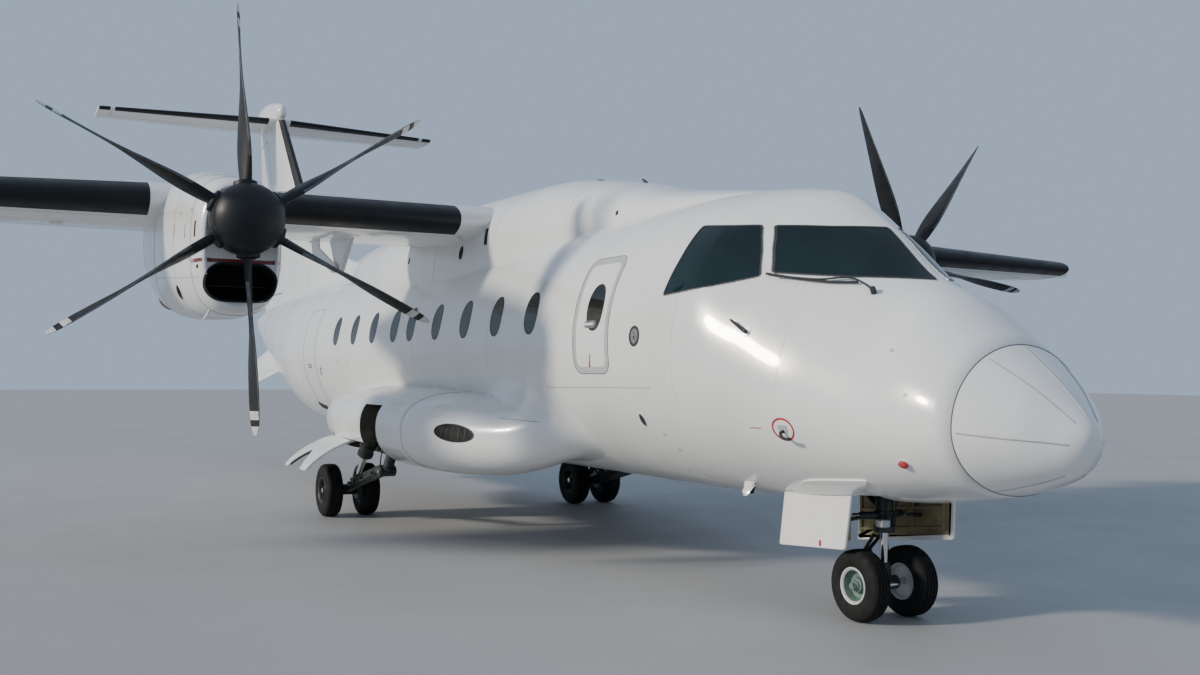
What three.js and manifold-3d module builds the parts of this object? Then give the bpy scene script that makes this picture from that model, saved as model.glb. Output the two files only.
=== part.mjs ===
import * as THREE from 'three';
import { mergeVertices } from 'three/addons/utils/BufferGeometryUtils.js';
import Module from 'manifold-3d';

// Twin-engine, high-wing, T-tail turboprop airliner, parked on its landing gear.
// Millimetres. +X points to the nose, +Y to the port side, +Z up, and the wheels stand on Z = 0.
// "back" is the distance behind a datum plane ahead of the nose. Pairs are drawn on the port
// side and mirrored.

const wasm = await Module();
wasm.setup();

// Driving dimensions
const LENGTH = 21280;
const HALF_SPAN = 10490;
const NOSE_BACK = 200;
const TAIL_BACK = NOSE_BACK + LENGTH;
const DATUM_X = LENGTH / 2 + NOSE_BACK;
const SEAT_GAP = 0.3;
const RUN_GAP = 8;

const NOSE_GEAR_BACK = 1956;
const NOSE_TYRE_R = 247.5;
const NOSE_TYRE_Y = 215;
const MAIN_GEAR_BACK = 9380;
const MAIN_GEAR_Y = 1610;
const MAIN_TYRE_R = 305;
const MAIN_TYRE_OFFSET = 220;

const PROP_BACK = 5655;
const PROP_Y = 3610;
const PROP_Z = 2950;
const PROP_TIP_R = 1800;
const SPINNER_R = 315;
const BLADE_COUNT = 6;
const BLADE_PHASE_DEG = { left: 111.6, right: 93.1 };

const x = (back) => DATUM_X - back;
const rad = THREE.MathUtils.degToRad;
const SIDES = ['right', 'left'];

// Colours and finishes
const FINISH = {
  white: { color: 0xeeede8, roughness: 0.22, metalness: 0 },
  boot: { color: 0x0c0c0d, roughness: 0.38, metalness: 0 },
  propeller: { color: 0x17181a, roughness: 0.5, metalness: 0.1 },
  glass: { color: 0x0d1a1e, roughness: 0.06, metalness: 0 },
  tyre: { color: 0x121213, roughness: 0.85, metalness: 0 },
  gear: { color: 0x5c635f, roughness: 0.45, metalness: 0.3 },
  exhaust: { color: 0x57504a, roughness: 0.42, metalness: 0.9 },
};

const aircraft = new THREE.Group();

// Solids

function signedVolume(positions, indices) {
  let six = 0;
  const [a, b, c] = [new THREE.Vector3(), new THREE.Vector3(), new THREE.Vector3()];
  for (let i = 0; i < indices.length; i += 3) {
    a.fromArray(positions, 3 * indices[i]);
    b.fromArray(positions, 3 * indices[i + 1]);
    c.fromArray(positions, 3 * indices[i + 2]);
    six += a.dot(b.cross(c));
  }
  return six / 6;
}

function closedGeometry(positions, indices) {
  if (signedVolume(positions, indices) < 0) indices.reverse();
  const geometry = new THREE.BufferGeometry();
  geometry.setAttribute('position', new THREE.Float32BufferAttribute(positions, 3));
  geometry.setIndex(indices);
  return geometry;
}

function toSolid(geometry) {
  const bare = geometry.clone();
  bare.deleteAttribute('normal');
  bare.deleteAttribute('uv');
  const merged = mergeVertices(bare, 1e-3);
  const { position } = merged.attributes;
  const outward = closedGeometry(Array.from(position.array), Array.from(merged.index.array));
  return new wasm.Manifold(new wasm.Mesh({
    numProp: 3,
    vertProperties: new Float32Array(outward.attributes.position.array),
    triVerts: new Uint32Array(outward.index.array),
  }));
}

function toGeometry(solid) {
  const mesh = solid.getMesh();
  const positions = [];
  for (let i = 0; i < mesh.vertProperties.length; i += mesh.numProp) {
    positions.push(...mesh.vertProperties.slice(i, i + 3));
  }
  return closedGeometry(positions, Array.from(mesh.triVerts));
}

function mirrored(solid) {
  const geometry = toGeometry(solid);
  const positions = Array.from(geometry.attributes.position.array);
  for (let i = 1; i < positions.length; i += 3) positions[i] = -positions[i];
  return toSolid(closedGeometry(positions, Array.from(geometry.index.array)));
}

const join = (first, ...rest) => rest.reduce((sum, solid) => sum.add(solid), first);
const cut = (first, ...rest) => rest.reduce((left, solid) => left.subtract(solid), first);

function addNode(name, solid, finish, position = [0, 0, 0]) {
  const material = new THREE.MeshStandardMaterial(FINISH[finish]);
  const mesh = new THREE.Mesh(toGeometry(solid), material);
  mesh.name = name;
  mesh.position.set(...position);
  aircraft.add(mesh);
}

function addPair(name, solid, finish) {
  addNode(`${name}_left`, solid, finish);
  addNode(`${name}_right`, mirrored(solid), finish);
}

const apart = (positions, i, j) => Math.hypot(...[0, 1, 2].map((k) => (
  positions[3 * i + k] - positions[3 * j + k]
)));

// Skins rings of points that all have the same count. A ring of one point is a tip.
// Each facet is split on its shorter diagonal, so that both sides of the aircraft match.
function loft(rings) {
  const positions = rings.flat(2);
  const indices = [];
  const starts = rings.map((_, r) => rings.slice(0, r).reduce((sum, ring) => sum + ring.length, 0));
  for (let r = 0; r + 1 < rings.length; r++) {
    const [near, far] = [rings[r].length, rings[r + 1].length];
    const count = Math.max(near, far);
    for (let i = 0; i < count; i++) {
      const j = (i + 1) % count;
      const [a, b] = [starts[r] + (i % near), starts[r] + (j % near)];
      const [c, d] = [starts[r + 1] + (j % far), starts[r + 1] + (i % far)];
      if (near === 1) indices.push(a, c, d);
      else if (far === 1) indices.push(a, b, c);
      else if (apart(positions, a, c) <= apart(positions, b, d)) indices.push(a, b, c, a, c, d);
      else indices.push(a, b, d, b, c, d);
    }
  }
  const addCap = (ring, start, reverse) => {
    if (ring.length === 1) return;
    const middle = positions.length / 3;
    const mean = (axis) => ring.reduce((sum, point) => sum + point[axis], 0) / ring.length;
    positions.push(mean(0), mean(1), mean(2));
    ring.forEach((_, i) => {
      const j = (i + 1) % ring.length;
      indices.push(middle, start + (reverse ? j : i), start + (reverse ? i : j));
    });
  };
  const last = rings.length - 1;
  addCap(rings[0], starts[0], true);
  addCap(rings[last], starts[last], false);
  return toSolid(closedGeometry(positions, indices));
}

function block([x0, x1], [y0, y1], [z0, z1]) {
  const geometry = new THREE.BoxGeometry(Math.abs(x1 - x0), Math.abs(y1 - y0), Math.abs(z1 - z0));
  geometry.translate((x0 + x1) / 2, (y0 + y1) / 2, (z0 + z1) / 2);
  return toSolid(geometry);
}

function rod(from, to, radius, sides = 12, endRadius = radius) {
  const start = new THREE.Vector3(...from);
  const end = new THREE.Vector3(...to);
  const along = end.clone().sub(start);
  const geometry = new THREE.CylinderGeometry(endRadius, radius, along.length(), sides);
  const up = new THREE.Vector3(0, 1, 0);
  geometry.applyQuaternion(new THREE.Quaternion().setFromUnitVectors(up, along.clone().normalize()));
  geometry.translate(...start.add(end).multiplyScalar(0.5).toArray());
  return toSolid(geometry);
}

// An outline in the two axes other than the named one, pushed along that one from low to high.
function plate(outline, axis, low, high) {
  const shape = new THREE.Shape(outline.map(([u, v]) => new THREE.Vector2(u, v)));
  const geometry = new THREE.ExtrudeGeometry(shape, { depth: high - low, bevelEnabled: false });
  geometry.translate(0, 0, low);
  const position = geometry.attributes.position;
  for (let i = 0; i < position.count; i++) {
    const [u, v, w] = [position.getX(i), position.getY(i), position.getZ(i)];
    const placed = { x: [w, u, v], y: [u, w, v], z: [u, v, w] }[axis];
    position.setXYZ(i, ...placed);
  }
  return toSolid(geometry);
}

// A profile of [radius, height] pairs turned about the x, y or z axis.
function turned(profile, axis, sides, centre = [0, 0, 0]) {
  const geometry = new THREE.LatheGeometry(profile.map(([r, h]) => new THREE.Vector2(r, h)), sides);
  if (axis === 'x') geometry.rotateZ(-Math.PI / 2);
  if (axis === 'z') geometry.rotateX(Math.PI / 2);
  geometry.translate(...centre);
  return toSolid(geometry);
}

function roundedOutline([u0, u1], [v0, v1], radius, steps = 3) {
  const corners = [[u1, v1, 0], [u0, v1, 90], [u0, v0, 180], [u1, v0, 270]];
  return corners.flatMap(([u, v, turn]) => Array.from({ length: steps + 1 }, (_, i) => {
    const angle = rad(turn + (90 * i) / steps);
    const centreU = u - radius * Math.sign(u - (u0 + u1) / 2);
    const centreV = v - radius * Math.sign(v - (v0 + v1) / 2);
    return [centreU + radius * Math.cos(angle), centreV + radius * Math.sin(angle)];
  }));
}

function grownOutline(outline, by) {
  const middle = [0, 1].map((k) => outline.reduce((sum, point) => sum + point[k], 0) / outline.length);
  return outline.map((point) => {
    const reach = Math.hypot(point[0] - middle[0], point[1] - middle[1]);
    return point.map((value, k) => value + ((value - middle[k]) * by) / reach);
  });
}

// Smooth curve through a table's columns

function slopeAt(xs, ys, i) {
  const rise = (k) => (ys[k + 1] - ys[k]) / (xs[k + 1] - xs[k]);
  if (i === 0) return rise(0);
  if (i === xs.length - 1) return rise(i - 1);
  const [before, after] = [rise(i - 1), rise(i)];
  return before * after <= 0 ? 0 : (2 * before * after) / (before + after);
}

function smooth(xs, ys, at) {
  let i = 0;
  while (i + 2 < xs.length && at > xs[i + 1]) i++;
  const step = xs[i + 1] - xs[i];
  const t = (at - xs[i]) / step;
  const [t2, t3] = [t * t, t * t * t];
  return (2 * t3 - 3 * t2 + 1) * ys[i] + (t3 - 2 * t2 + t) * step * slopeAt(xs, ys, i)
    + (3 * t2 - 2 * t3) * ys[i + 1] + (t3 - t2) * step * slopeAt(xs, ys, i + 1);
}

const bent = (value, power) => Math.sign(value) * Math.abs(value) ** power;

// Fuselage. Columns: back, keel height, crown height, half width, height of the widest point, and the
// fullness of the upper half of the section, where 2 is an ellipse
const FUSELAGE = [
  [NOSE_BACK, 1350, 1350, 0, 1350, 2],
  [300, 1132, 1517, 198, 1305, 2],
  [480, 1044, 1690, 405, 1347, 2],
  [780, 952, 1925, 607, 1386, 2],
  [1150, 889, 2206, 705, 1415, 1.91],
  [1420, 853, 2350, 750, 1443, 1.62],
  [1923, 824, 2768, 855, 1533, 1.54],
  [2400, 797, 3045, 995, 1657, 1.72],
  [2880, 772, 3122, 1130, 1810, 2],
  [3700, 753, 3178, 1205, 1940, 2],
  [4400, 752.5, 3180, 1212.5, 1965, 2],
  [12300, 752.5, 3180, 1212.5, 1965, 2],
  [14000, 800, 3180, 1175, 1995, 2],
  [15600, 1030, 3165, 1000, 2110, 2],
  [17600, 1510, 3090, 690, 2320, 2],
  [19600, 2130, 2960, 370, 2560, 2],
  [20920, 2520, 2800, 140, 2670, 2],
];
const FUSELAGE_SIDES = 24;
const RADOME_BACK = 730;
const RADOME_STATIONS = [225, 290, 400, 550, RADOME_BACK - SEAT_GAP];
const BODY_STATIONS = [
  RADOME_BACK, 1060, 1420, 1670, 1923, 2160, 2400, 2640, 2880, 3300, 3700, 4400, 12300,
  13400, 14400, 15400, 16500, 17600, 19000, 20200, 20920,
];

// The nose is round because the curve runs over the square root of the distance.
const fromTip = (back) => Math.sqrt(back - NOSE_BACK);
const fuselageRoots = FUSELAGE.map(([back]) => fromTip(back));
function fuselageAt(back) {
  const column = (k) => smooth(fuselageRoots, FUSELAGE.map((row) => row[k]), fromTip(back));
  return { keel: column(1), crown: column(2), half: column(3), belt: column(4), fullness: column(5) };
}

function fuselageRing(back, grow) {
  const { keel, crown, half, belt, fullness } = fuselageAt(back);
  return Array.from({ length: FUSELAGE_SIDES }, (_, i) => {
    const angle = (2 * Math.PI * i) / FUSELAGE_SIDES;
    const [rise, power] = Math.sin(angle) > 0 ? [crown - belt, 2 / fullness] : [belt - keel, 1];
    const across = (half + grow) * bent(Math.cos(angle), power);
    return [x(back), across, belt + (rise + grow) * bent(Math.sin(angle), power)];
  });
}

const hull = (grow) => loft(BODY_STATIONS.map((back) => fuselageRing(back, grow)));
const hullGrown = hull(SEAT_GAP);
const noseTip = [[x(NOSE_BACK), 0, FUSELAGE[0][1]]];
addNode('radome', loft([noseTip, ...RADOME_STATIONS.map((back) => fuselageRing(back, 0))]), 'white');

// Lifting surfaces. Sections of one thin profile with a round nose, joined along the span.
const PROFILE_STEPS = [0, 0.012, 0.05, 0.14, 0.3, 0.5, 0.74, 1];
const EDGE_THICKNESS = 0.006;

// Columns: span, back of the leading edge, chord, height of it, thickness, camber, droop
const WING = [
  [0, 7030, 2350, 3270, 0.175, 0.018, 0.026],
  [4150, 7030, 2350, 3270, 0.175, 0.018, 0.026],
  [8250, 7340, 1750, 3215, 0.15, 0.018, 0.02],
  [9300, 8300, 900, 3260, 0.125, 0.012, 0.012],
  [HALF_SPAN, 9300, 80, 3310, 0.1, 0, 0],
];
const TAILPLANE = [
  [0, 19700, 1480, 6720, 0.115, 0, 0.03],
  [3350, 20100, 830, 6710, 0.105, 0, 0.06],
];
// An upright surface: its span is its height, and its sections lie on the centre plane.
const FIN = [
  [2900, 15650, 5000, 0, 0.05, 0, 0],
  [4100, 16830, 4070, 0, 0.06, 0, 0],
  [6800, 19550, 1870, 0, 0.1, 0, 0],
];

function rowAt(table, span) {
  let i = 0;
  while (i + 2 < table.length && span > table[i + 1][0]) i++;
  const t = (span - table[i][0]) / (table[i + 1][0] - table[i][0]);
  return table[i].map((value, k) => value + t * (table[i + 1][k] - value));
}

// The middle of the section at a fraction of its chord: distance back, and height.
function meanPoint(table, span, along) {
  const [, lead, chord, height, , camber, droop] = rowAt(table, span);
  return [lead + along * chord, height + chord * (4 * camber * along * (1 - along) - droop * along)];
}

function halfThickness(table, span, along) {
  const [, , chord, , thickness] = rowAt(table, span);
  const shape = 0.2969 * Math.sqrt(along) - 0.126 * along - 0.3516 * along ** 2
    + 0.2843 * along ** 3 - 0.1036 * along ** 4;
  return chord * (5 * thickness * shape + 0.5 * EDGE_THICKNESS * along);
}

function sectionRing(table, span, grow, upright) {
  const upper = PROFILE_STEPS.map((along) => [along, 1]).reverse();
  const lower = PROFILE_STEPS.slice(1).map((along) => [along, -1]);
  return [...upper, ...lower].map(([along, side]) => {
    const [back, height] = meanPoint(table, span, along);
    const off = along === 0 ? 0 : side * (halfThickness(table, span, along) + grow);
    const ends = { 0: -grow, 1: grow }[along] ?? 0;
    return upright ? [x(back + ends), off, span] : [x(back + ends), span, height + off];
  });
}

function surface(table, { grow = 0, upright = false } = {}) {
  const rings = table.map(([span]) => sectionRing(table, span, grow, upright));
  if (upright) return loft(rings);
  const far = rings.slice(1).reverse().map((ring) => ring.map(([px, py, pz]) => [px, -py, pz]));
  return loft([...far, ...rings]);
}

// A slab that holds everything behind (or ahead of) a line at a fraction of the chord.
function slab(table, [span0, span1], along, shift, { upright = false, ahead = false } = {}) {
  const reach = ahead ? 1500 : -4000;
  const line = [span0, span1].map((span) => [x(meanPoint(table, span, along)[0]) - shift, span]);
  const outline = [...line, [line[1][0] + reach, span1], [line[0][0] + reach, span0]];
  return upright ? plate(outline, 'y', -600, 600) : plate(outline, 'z', 2000, 8000);
}

// A tapered round bar along the hinge line, as thick as the surface there.
function hingeBar(table, [span0, span1], along, grow, upright = false) {
  const point = (span) => {
    const [back, height] = meanPoint(table, span, along);
    return upright ? [x(back), 0, span] : [x(back), span, height];
  };
  const radius = (span) => halfThickness(table, span, along) + grow;
  return rod(point(span0), point(span1), radius(span0), 12, radius(span1));
}

const wing = surface(WING);
const wingGrown = surface(WING, { grow: SEAT_GAP });
const tailplane = surface(TAILPLANE);
const tailplaneGrown = surface(TAILPLANE, { grow: SEAT_GAP });
const fin = surface(FIN, { upright: true });

const PIN_R = 8;
const PIN_SIDES = 12;
const PIN_DEPTH = 20;

function hingePoint(table, span, along, upright) {
  const [back, height] = meanPoint(table, span, along);
  return upright ? [x(back), 0, span] : [x(back), span, height];
}

// A pin on the hinge line, out of the fixed structure at one end and into the moving surface.
function hingePin(table, end, inward, { hinge, upright, endGaps: [endGap] = [RUN_GAP], clear = 0 }) {
  const outside = hingePoint(table, end - inward * (endGap + PIN_DEPTH), hinge, upright);
  const inside = hingePoint(table, end + inward * (PIN_DEPTH + clear), hinge, upright);
  return rod(outside, inside, PIN_R + clear, PIN_SIDES);
}

function hingePins(table, control, clear = 0) {
  const [span0, span1] = control.spans;
  const root = hingePin(table, span0, 1, { ...control, clear });
  return control.rootPinOnly ? [root] : [root, hingePin(table, span1, -1, { ...control, clear })];
}

const widened = ([span0, span1], by) => [span0 - by, span1 + by];

function hingedSurface(solid, table, control) {
  const behind = solid.intersect(slab(table, control.spans, control.hinge, 0, control));
  const bar = hingeBar(table, control.spans, control.hinge, 0, control.upright);
  return cut(join(behind, bar), ...hingePins(table, control, SEAT_GAP));
}

function cove(table, { spans, hinge, upright, endGaps = [RUN_GAP, RUN_GAP] }) {
  const wide = [spans[0] - endGaps[0], spans[1] + endGaps[1]];
  const behind = slab(table, wide, hinge, 0, { upright });
  return join(behind, hingeBar(table, wide, hinge, RUN_GAP, upright));
}

const AILERON = { spans: [6560, 8200], hinge: 0.74 };
const ELEVATOR = { spans: [230, 3350], hinge: 0.62, rootPinOnly: true };
// The rudder's ends rise and fall as it turns about its leaning hinge line, so their gaps are wide.
const RUDDER = { spans: [3210, 6368], hinge: 0.63, upright: true, endGaps: [30, 40] };
const HORN_SPAN = 3110;

// Flaps hang on dropped pivots. A fixed bracket below the wing holds the pin, an arm holds the flap.
const FLAPS = [
  { name: 'flap_inner', spans: [1080, 2880], bracketSpans: [2100] },
  { name: 'flap_outer', spans: [4380, 6510], bracketSpans: [5440, 6340] },
];
const FLAP_FRONT = 0.72;
const FLAP_FRONT_GAP = 14;
const FLAP_PIVOT = { back: 8120, z: 2785 };
const FLAP_PIN_R = 8;
const BRACKET_HALF = 32;
const ARM_WIDTH = 26;
const BRACKET_OUTLINE = [
  [7600, 3180], [8480, 3180], [8215, 2790], [8175, 2745], [8065, 2745], [8020, 2790],
];

const sideOutline = (points) => points.map(([back, z]) => [x(back), z]);

function flapBracket(span) {
  const fixed = plate(sideOutline(BRACKET_OUTLINE), 'y', span - BRACKET_HALF, span + BRACKET_HALF);
  const end = span + BRACKET_HALF + RUN_GAP + ARM_WIDTH + RUN_GAP;
  const { back, z } = FLAP_PIVOT;
  return join(fixed, rod([x(back), span, z], [x(back), end, z], FLAP_PIN_R, PIN_SIDES));
}

function flapArm(span) {
  const y = span + BRACKET_HALF + RUN_GAP;
  const { back, z } = FLAP_PIVOT;
  const outline = [
    [back - 45, z - 20], [back - 12, z - 45], [back + 60, z - 40], [9000, 2990], [9080, 3200],
    [8800, 3200], [8770, 3070], [back, z + 45], [back - 40, z + 28],
  ];
  const arm = plate(sideOutline(outline), 'y', y, y + ARM_WIDTH);
  const [boreStart, boreEnd] = [y - ARM_WIDTH, y + 2 * ARM_WIDTH];
  const bore = rod([x(back), boreStart, z], [x(back), boreEnd, z], FLAP_PIN_R + SEAT_GAP, PIN_SIDES);
  return cut(arm, bore);
}

// Rubber de-icing boots: the front strip of each leading edge.
const WING_BOOTS = [
  { name: 'wing_boot_inner', spans: [1150, 2900], along: 0.085 },
  { name: 'wing_boot_outer', spans: [4290, 8240], along: 0.085 },
];
const TAIL_BOOT = { spans: [215, 3060], along: 0.1 };
const FIN_BOOT = { spans: [4000, 6730], along: 0.07, upright: true };

const bootStrip = (solid, table, boot) => (
  solid.intersect(slab(table, boot.spans, boot.along, 0, { ...boot, ahead: true }))
);
const bootSpace = (table, boot) => (
  slab(table, widened(boot.spans, SEAT_GAP), boot.along, SEAT_GAP, { ...boot, ahead: true })
);

// Both halves of the wing or tailplane, with what is cut from and added to each half.
function fixedStructure(solid, cuts, additions) {
  const removed = join(...cuts);
  const lean = cut(solid, removed, mirrored(removed));
  const added = join(...additions);
  return join(lean, added, mirrored(added));
}

// Jacking pads below the wing
const WING_PAD = { back: 7900, y: 4900, half: 60, z: 3060 };
const wingPad = block(
  [x(WING_PAD.back - WING_PAD.half), x(WING_PAD.back + WING_PAD.half)],
  [WING_PAD.y - WING_PAD.half, WING_PAD.y + WING_PAD.half],
  [WING_PAD.z, WING_PAD.z + 150],
);

addNode('wing', fixedStructure(
  wing,
  [
    ...FLAPS.map(({ spans }) => slab(WING, widened(spans, RUN_GAP), FLAP_FRONT, 0)),
    ...WING_BOOTS.map((boot) => bootSpace(WING, boot)),
    cove(WING, AILERON),
  ],
  [
    ...FLAPS.flatMap(({ bracketSpans }) => bracketSpans.map(flapBracket)),
    ...hingePins(WING, AILERON),
    wingPad,
  ],
), 'white');
for (const boot of WING_BOOTS) addPair(boot.name, bootStrip(wing, WING, boot), 'boot');
addPair('aileron', hingedSurface(wing, WING, AILERON), 'white');
for (const { name, spans, bracketSpans } of FLAPS) {
  const panel = wing.intersect(slab(WING, spans, FLAP_FRONT, FLAP_FRONT_GAP));
  addPair(name, join(panel, ...bracketSpans.map(flapArm)), 'white');
}

// The elevators reach forward round the tailplane's tips as balance horns.
const wholeChord = (from) => slab(TAILPLANE, [from, 3700], -0.4, 0);
addNode('tailplane', fixedStructure(
  tailplane,
  [bootSpace(TAILPLANE, TAIL_BOOT), wholeChord(HORN_SPAN - RUN_GAP), cove(TAILPLANE, ELEVATOR)],
  hingePins(TAILPLANE, ELEVATOR),
), 'white');
addPair('tailplane_boot', bootStrip(tailplane, TAILPLANE, TAIL_BOOT), 'boot');
addPair('elevator', join(
  hingedSurface(tailplane, TAILPLANE, ELEVATOR),
  tailplane.intersect(wholeChord(HORN_SPAN)),
), 'white');

// Closed rings of a rounded section, between a circle (bend 1) and a box (bend towards 0).
function roundRing([back, half, top, bottom], { y = 0, bend = 1, sides = 14 } = {}) {
  return Array.from({ length: sides }, (_, i) => {
    const angle = (2 * Math.PI * i) / sides;
    const height = (top + bottom) / 2 + ((top - bottom) / 2) * bent(Math.sin(angle), bend);
    return [x(back), y + half * bent(Math.cos(angle), bend), height];
  });
}

// Fairing on top of the fin. Columns: back, half width, top, bottom
const BULLET = [
  [19470, 40, 6930, 6790],
  [19560, 95, 7010, 6740],
  [19900, 150, 7110, 6690],
  [20400, 165, 7190, 6670],
  [21050, 120, 7240, 6740],
  [TAIL_BACK, 55, 7215, 6900],
];
const bulletGrown = loft(BULLET.map(([back, half, top, bottom]) => (
  roundRing([back, half + SEAT_GAP, top + SEAT_GAP, bottom - SEAT_GAP])
)));
addNode('tail_bullet', cut(loft(BULLET.map((row) => roundRing(row))), tailplaneGrown), 'white');

// Spine from the wing fairing to the fin. Columns: back, half width, top
const SPINE_START = 13600;
const SPINE = [
  [SPINE_START + SEAT_GAP, 280, 3405],
  [14300, 130, 3450],
  [15020, 120, 3585],
  [15660, 130, 3790],
  [16700, 140, 4060],
  [17300, 120, 4060],
];
const SPINE_FOOT = 2900;
const spine = loft(SPINE.map(([back, half, top]) => [
  [x(back), -half, SPINE_FOOT], [x(back), half, SPINE_FOOT],
  [x(back), half, (SPINE_FOOT + top) / 2], [x(back), half * 0.35, top],
  [x(back), -half * 0.35, top], [x(back), -half, (SPINE_FOOT + top) / 2],
]));
const finAndSpine = join(fin, spine);
addNode('fin', join(
  cut(
    finAndSpine, hullGrown, tailplaneGrown, bulletGrown,
    bootSpace(FIN, FIN_BOOT), cove(FIN, RUDDER),
  ),
  ...hingePins(FIN, RUDDER).slice(0, 1),
), 'white');
addNode('fin_boot', cut(bootStrip(fin, FIN, FIN_BOOT), tailplaneGrown, bulletGrown), 'boot');
addNode('rudder', hingedSurface(fin, FIN, { ...RUDDER, rootPinOnly: true }), 'white');

// Cockpit glass, seen from the front and from the side, port half
const FRONT_PANE = [[561, 2764], [42, 2719], [52, 2322], [721, 2402]];
const SIDE_PANE = [[3084, 2810], [2556, 2772], [2358, 2381], [3131, 2271]];
const PANE = { inset: 2, depth: 28, edge: 5 };
const paneSlabs = {
  windshield: (by) => plate(grownOutline(FRONT_PANE, by), 'x', x(2700), x(1200)),
  side_window: (by) => plate(grownOutline(sideOutline(SIDE_PANE), by), 'y', 400, 1400),
};
const paneSkin = cut(hull(-PANE.inset), hull(-PANE.depth));
const paneRecess = (slabAt) => cut(slabAt(PANE.edge), hull(-PANE.depth - SEAT_GAP));

// Doors. Columns: name, side, back range, height range, corner radius, panel thickness
const DOORS = {
  passenger_door: { side: 1, backs: [3380, 4080], zs: [1225, 2915], radius: 120, depth: 60, gap: RUN_GAP },
  baggage_door: { side: 1, backs: [12300, 13220], zs: [1400, 2800], radius: 90, depth: 60, gap: RUN_GAP },
  service_door: { side: -1, backs: [3790, 4380], zs: [1690, 2640], radius: 110, depth: 40, gap: 3 },
  rear_exit: { side: -1, backs: [12400, 13030], zs: [1180, 2570], radius: 90, depth: 40, gap: 3 },
};

function doorSlab({ side, backs, zs, radius }, by) {
  const [front, rear] = backs;
  const outline = roundedOutline([x(rear) - by, x(front) + by], [zs[0] - by, zs[1] + by], radius + by);
  return plate(outline, 'y', side > 0 ? 300 : -1300, side > 0 ? 1300 : -300);
}
const SWING_GAP = 20;
const doorPanel = (door) => cut(hull(0).intersect(doorSlab(door, 0)), hull(-door.depth));
function doorRecess(door) {
  const floor = door.gap === RUN_GAP ? SWING_GAP : SEAT_GAP;
  return cut(doorSlab(door, door.gap), hull(-door.depth - floor));
}

// Hinges outside the skin: a knuckle on the door turns on two pins held by lugs on the fuselage.
const HINGE = { knuckleR: 22, pinR: 8, stand: 16, lugLength: 34, reach: 70 };
const DOOR_HINGES = {
  passenger_door: { z: 1203, inward: 1 },
  baggage_door: { z: 2822, inward: -1 },
};

const skinAt = (back, z) => {
  const { keel, crown, half, belt, fullness } = fuselageAt(back);
  const [rise, power] = z > belt ? [crown - belt, fullness] : [belt - keel, 2];
  return half * (1 - (Math.abs(z - belt) / rise) ** power) ** (1 / power);
};

function doorHinge(name) {
  const { backs } = DOORS[name];
  const { z, inward } = DOOR_HINGES[name];
  const y = Math.max(...backs.map((back) => skinAt(back, z))) + HINGE.stand;
  const ends = [backs[0] + 60, backs[1] - 60];
  const bar = (from, to, radius) => rod([x(from), y, z], [x(to), y, z], radius, PIN_SIDES);
  const tongue = block(
    [x(ends[0]), x(ends[1])], [y - HINGE.reach, y],
    inward > 0 ? [z + 4, z + 50] : [z - 50, z - 4],
  );
  const bores = [
    bar(ends[0] - 1, ends[0] + PIN_DEPTH, HINGE.pinR + SEAT_GAP),
    bar(ends[1] - PIN_DEPTH, ends[1] + 1, HINGE.pinR + SEAT_GAP),
  ];
  const knuckle = cut(join(bar(...ends, HINGE.knuckleR), cut(tongue, hull(-20))), ...bores);
  const lugs = [[ends[0], -1], [ends[1], 1]].map(([end, out]) => {
    const near = end + out * RUN_GAP;
    const far = near + out * HINGE.lugLength;
    const foot = block([x(near), x(far)], [y - HINGE.reach, y], [z - HINGE.knuckleR, z + HINGE.knuckleR]);
    return join(
      bar(Math.min(near, far), Math.max(near, far), HINGE.knuckleR),
      foot,
      bar(Math.min(end - out * (PIN_DEPTH - 2), far), Math.max(end - out * (PIN_DEPTH - 2), far), HINGE.pinR),
    );
  });
  const notch = join(
    bar(ends[0] - RUN_GAP, ends[1] + RUN_GAP, HINGE.knuckleR + RUN_GAP),
    block(
      [x(ends[0] - RUN_GAP), x(ends[1] + RUN_GAP)], [y - HINGE.reach - RUN_GAP, y],
      inward > 0 ? [z - RUN_GAP, z + 50] : [z - 50, z + RUN_GAP],
    ),
  );
  return { knuckle, lugs, notch };
}
const hinges = Object.fromEntries(Object.keys(DOOR_HINGES).map((name) => [name, doorHinge(name)]));

// Baggage hold behind its door: hollow, with a flat floor. The doorway has a stop on three sides.
const HOLD = { backs: [11900, 12300, 13400, 14400, 15400, 16600], wall: 100, floor: 1150 };
const DOORWAY = { stop: 40, topStop: 5 };
const hold = loft(HOLD.backs.map((back) => (
  fuselageRing(back, -HOLD.wall).map(([px, py, pz]) => [px, py, Math.max(pz, HOLD.floor)])
)));
const { backs: doorwayBacks, zs: doorwayHeights } = DOORS.baggage_door;
const doorway = doorSlab({
  ...DOORS.baggage_door,
  backs: [doorwayBacks[0] + DOORWAY.stop, doorwayBacks[1] - DOORWAY.stop],
  zs: [doorwayHeights[0] + DOORWAY.stop, doorwayHeights[1] - DOORWAY.topStop],
}, 0);

// Fuselage with its recesses, the hold, the nose gear bay and the trough for the wing
const NOSE_BAY = { backs: [1640, 2640], half: 320, roof: 1150 };
const noseBay = block(NOSE_BAY.backs.map(x), [-NOSE_BAY.half, NOSE_BAY.half], [500, NOSE_BAY.roof]);
const paneCuts = Object.values(paneSlabs).map(paneRecess);
addNode('fuselage', join(
  cut(
    hull(0), wingGrown, noseBay, ...paneCuts, ...paneCuts.map(mirrored),
    ...Object.values(DOORS).map(doorRecess),
    ...Object.values(hinges).map(({ notch }) => notch),
    hold, doorway,
  ),
  ...Object.values(hinges).flatMap(({ lugs }) => lugs),
), 'white');
for (const [name, slabAt] of Object.entries(paneSlabs)) {
  addPair(name, paneSkin.intersect(slabAt(0)), 'glass');
}
for (const [name, door] of Object.entries(DOORS)) {
  const parts = hinges[name] ? [hinges[name].knuckle] : [];
  addNode(name, join(doorPanel(door), ...parts), 'white');
}

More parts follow.
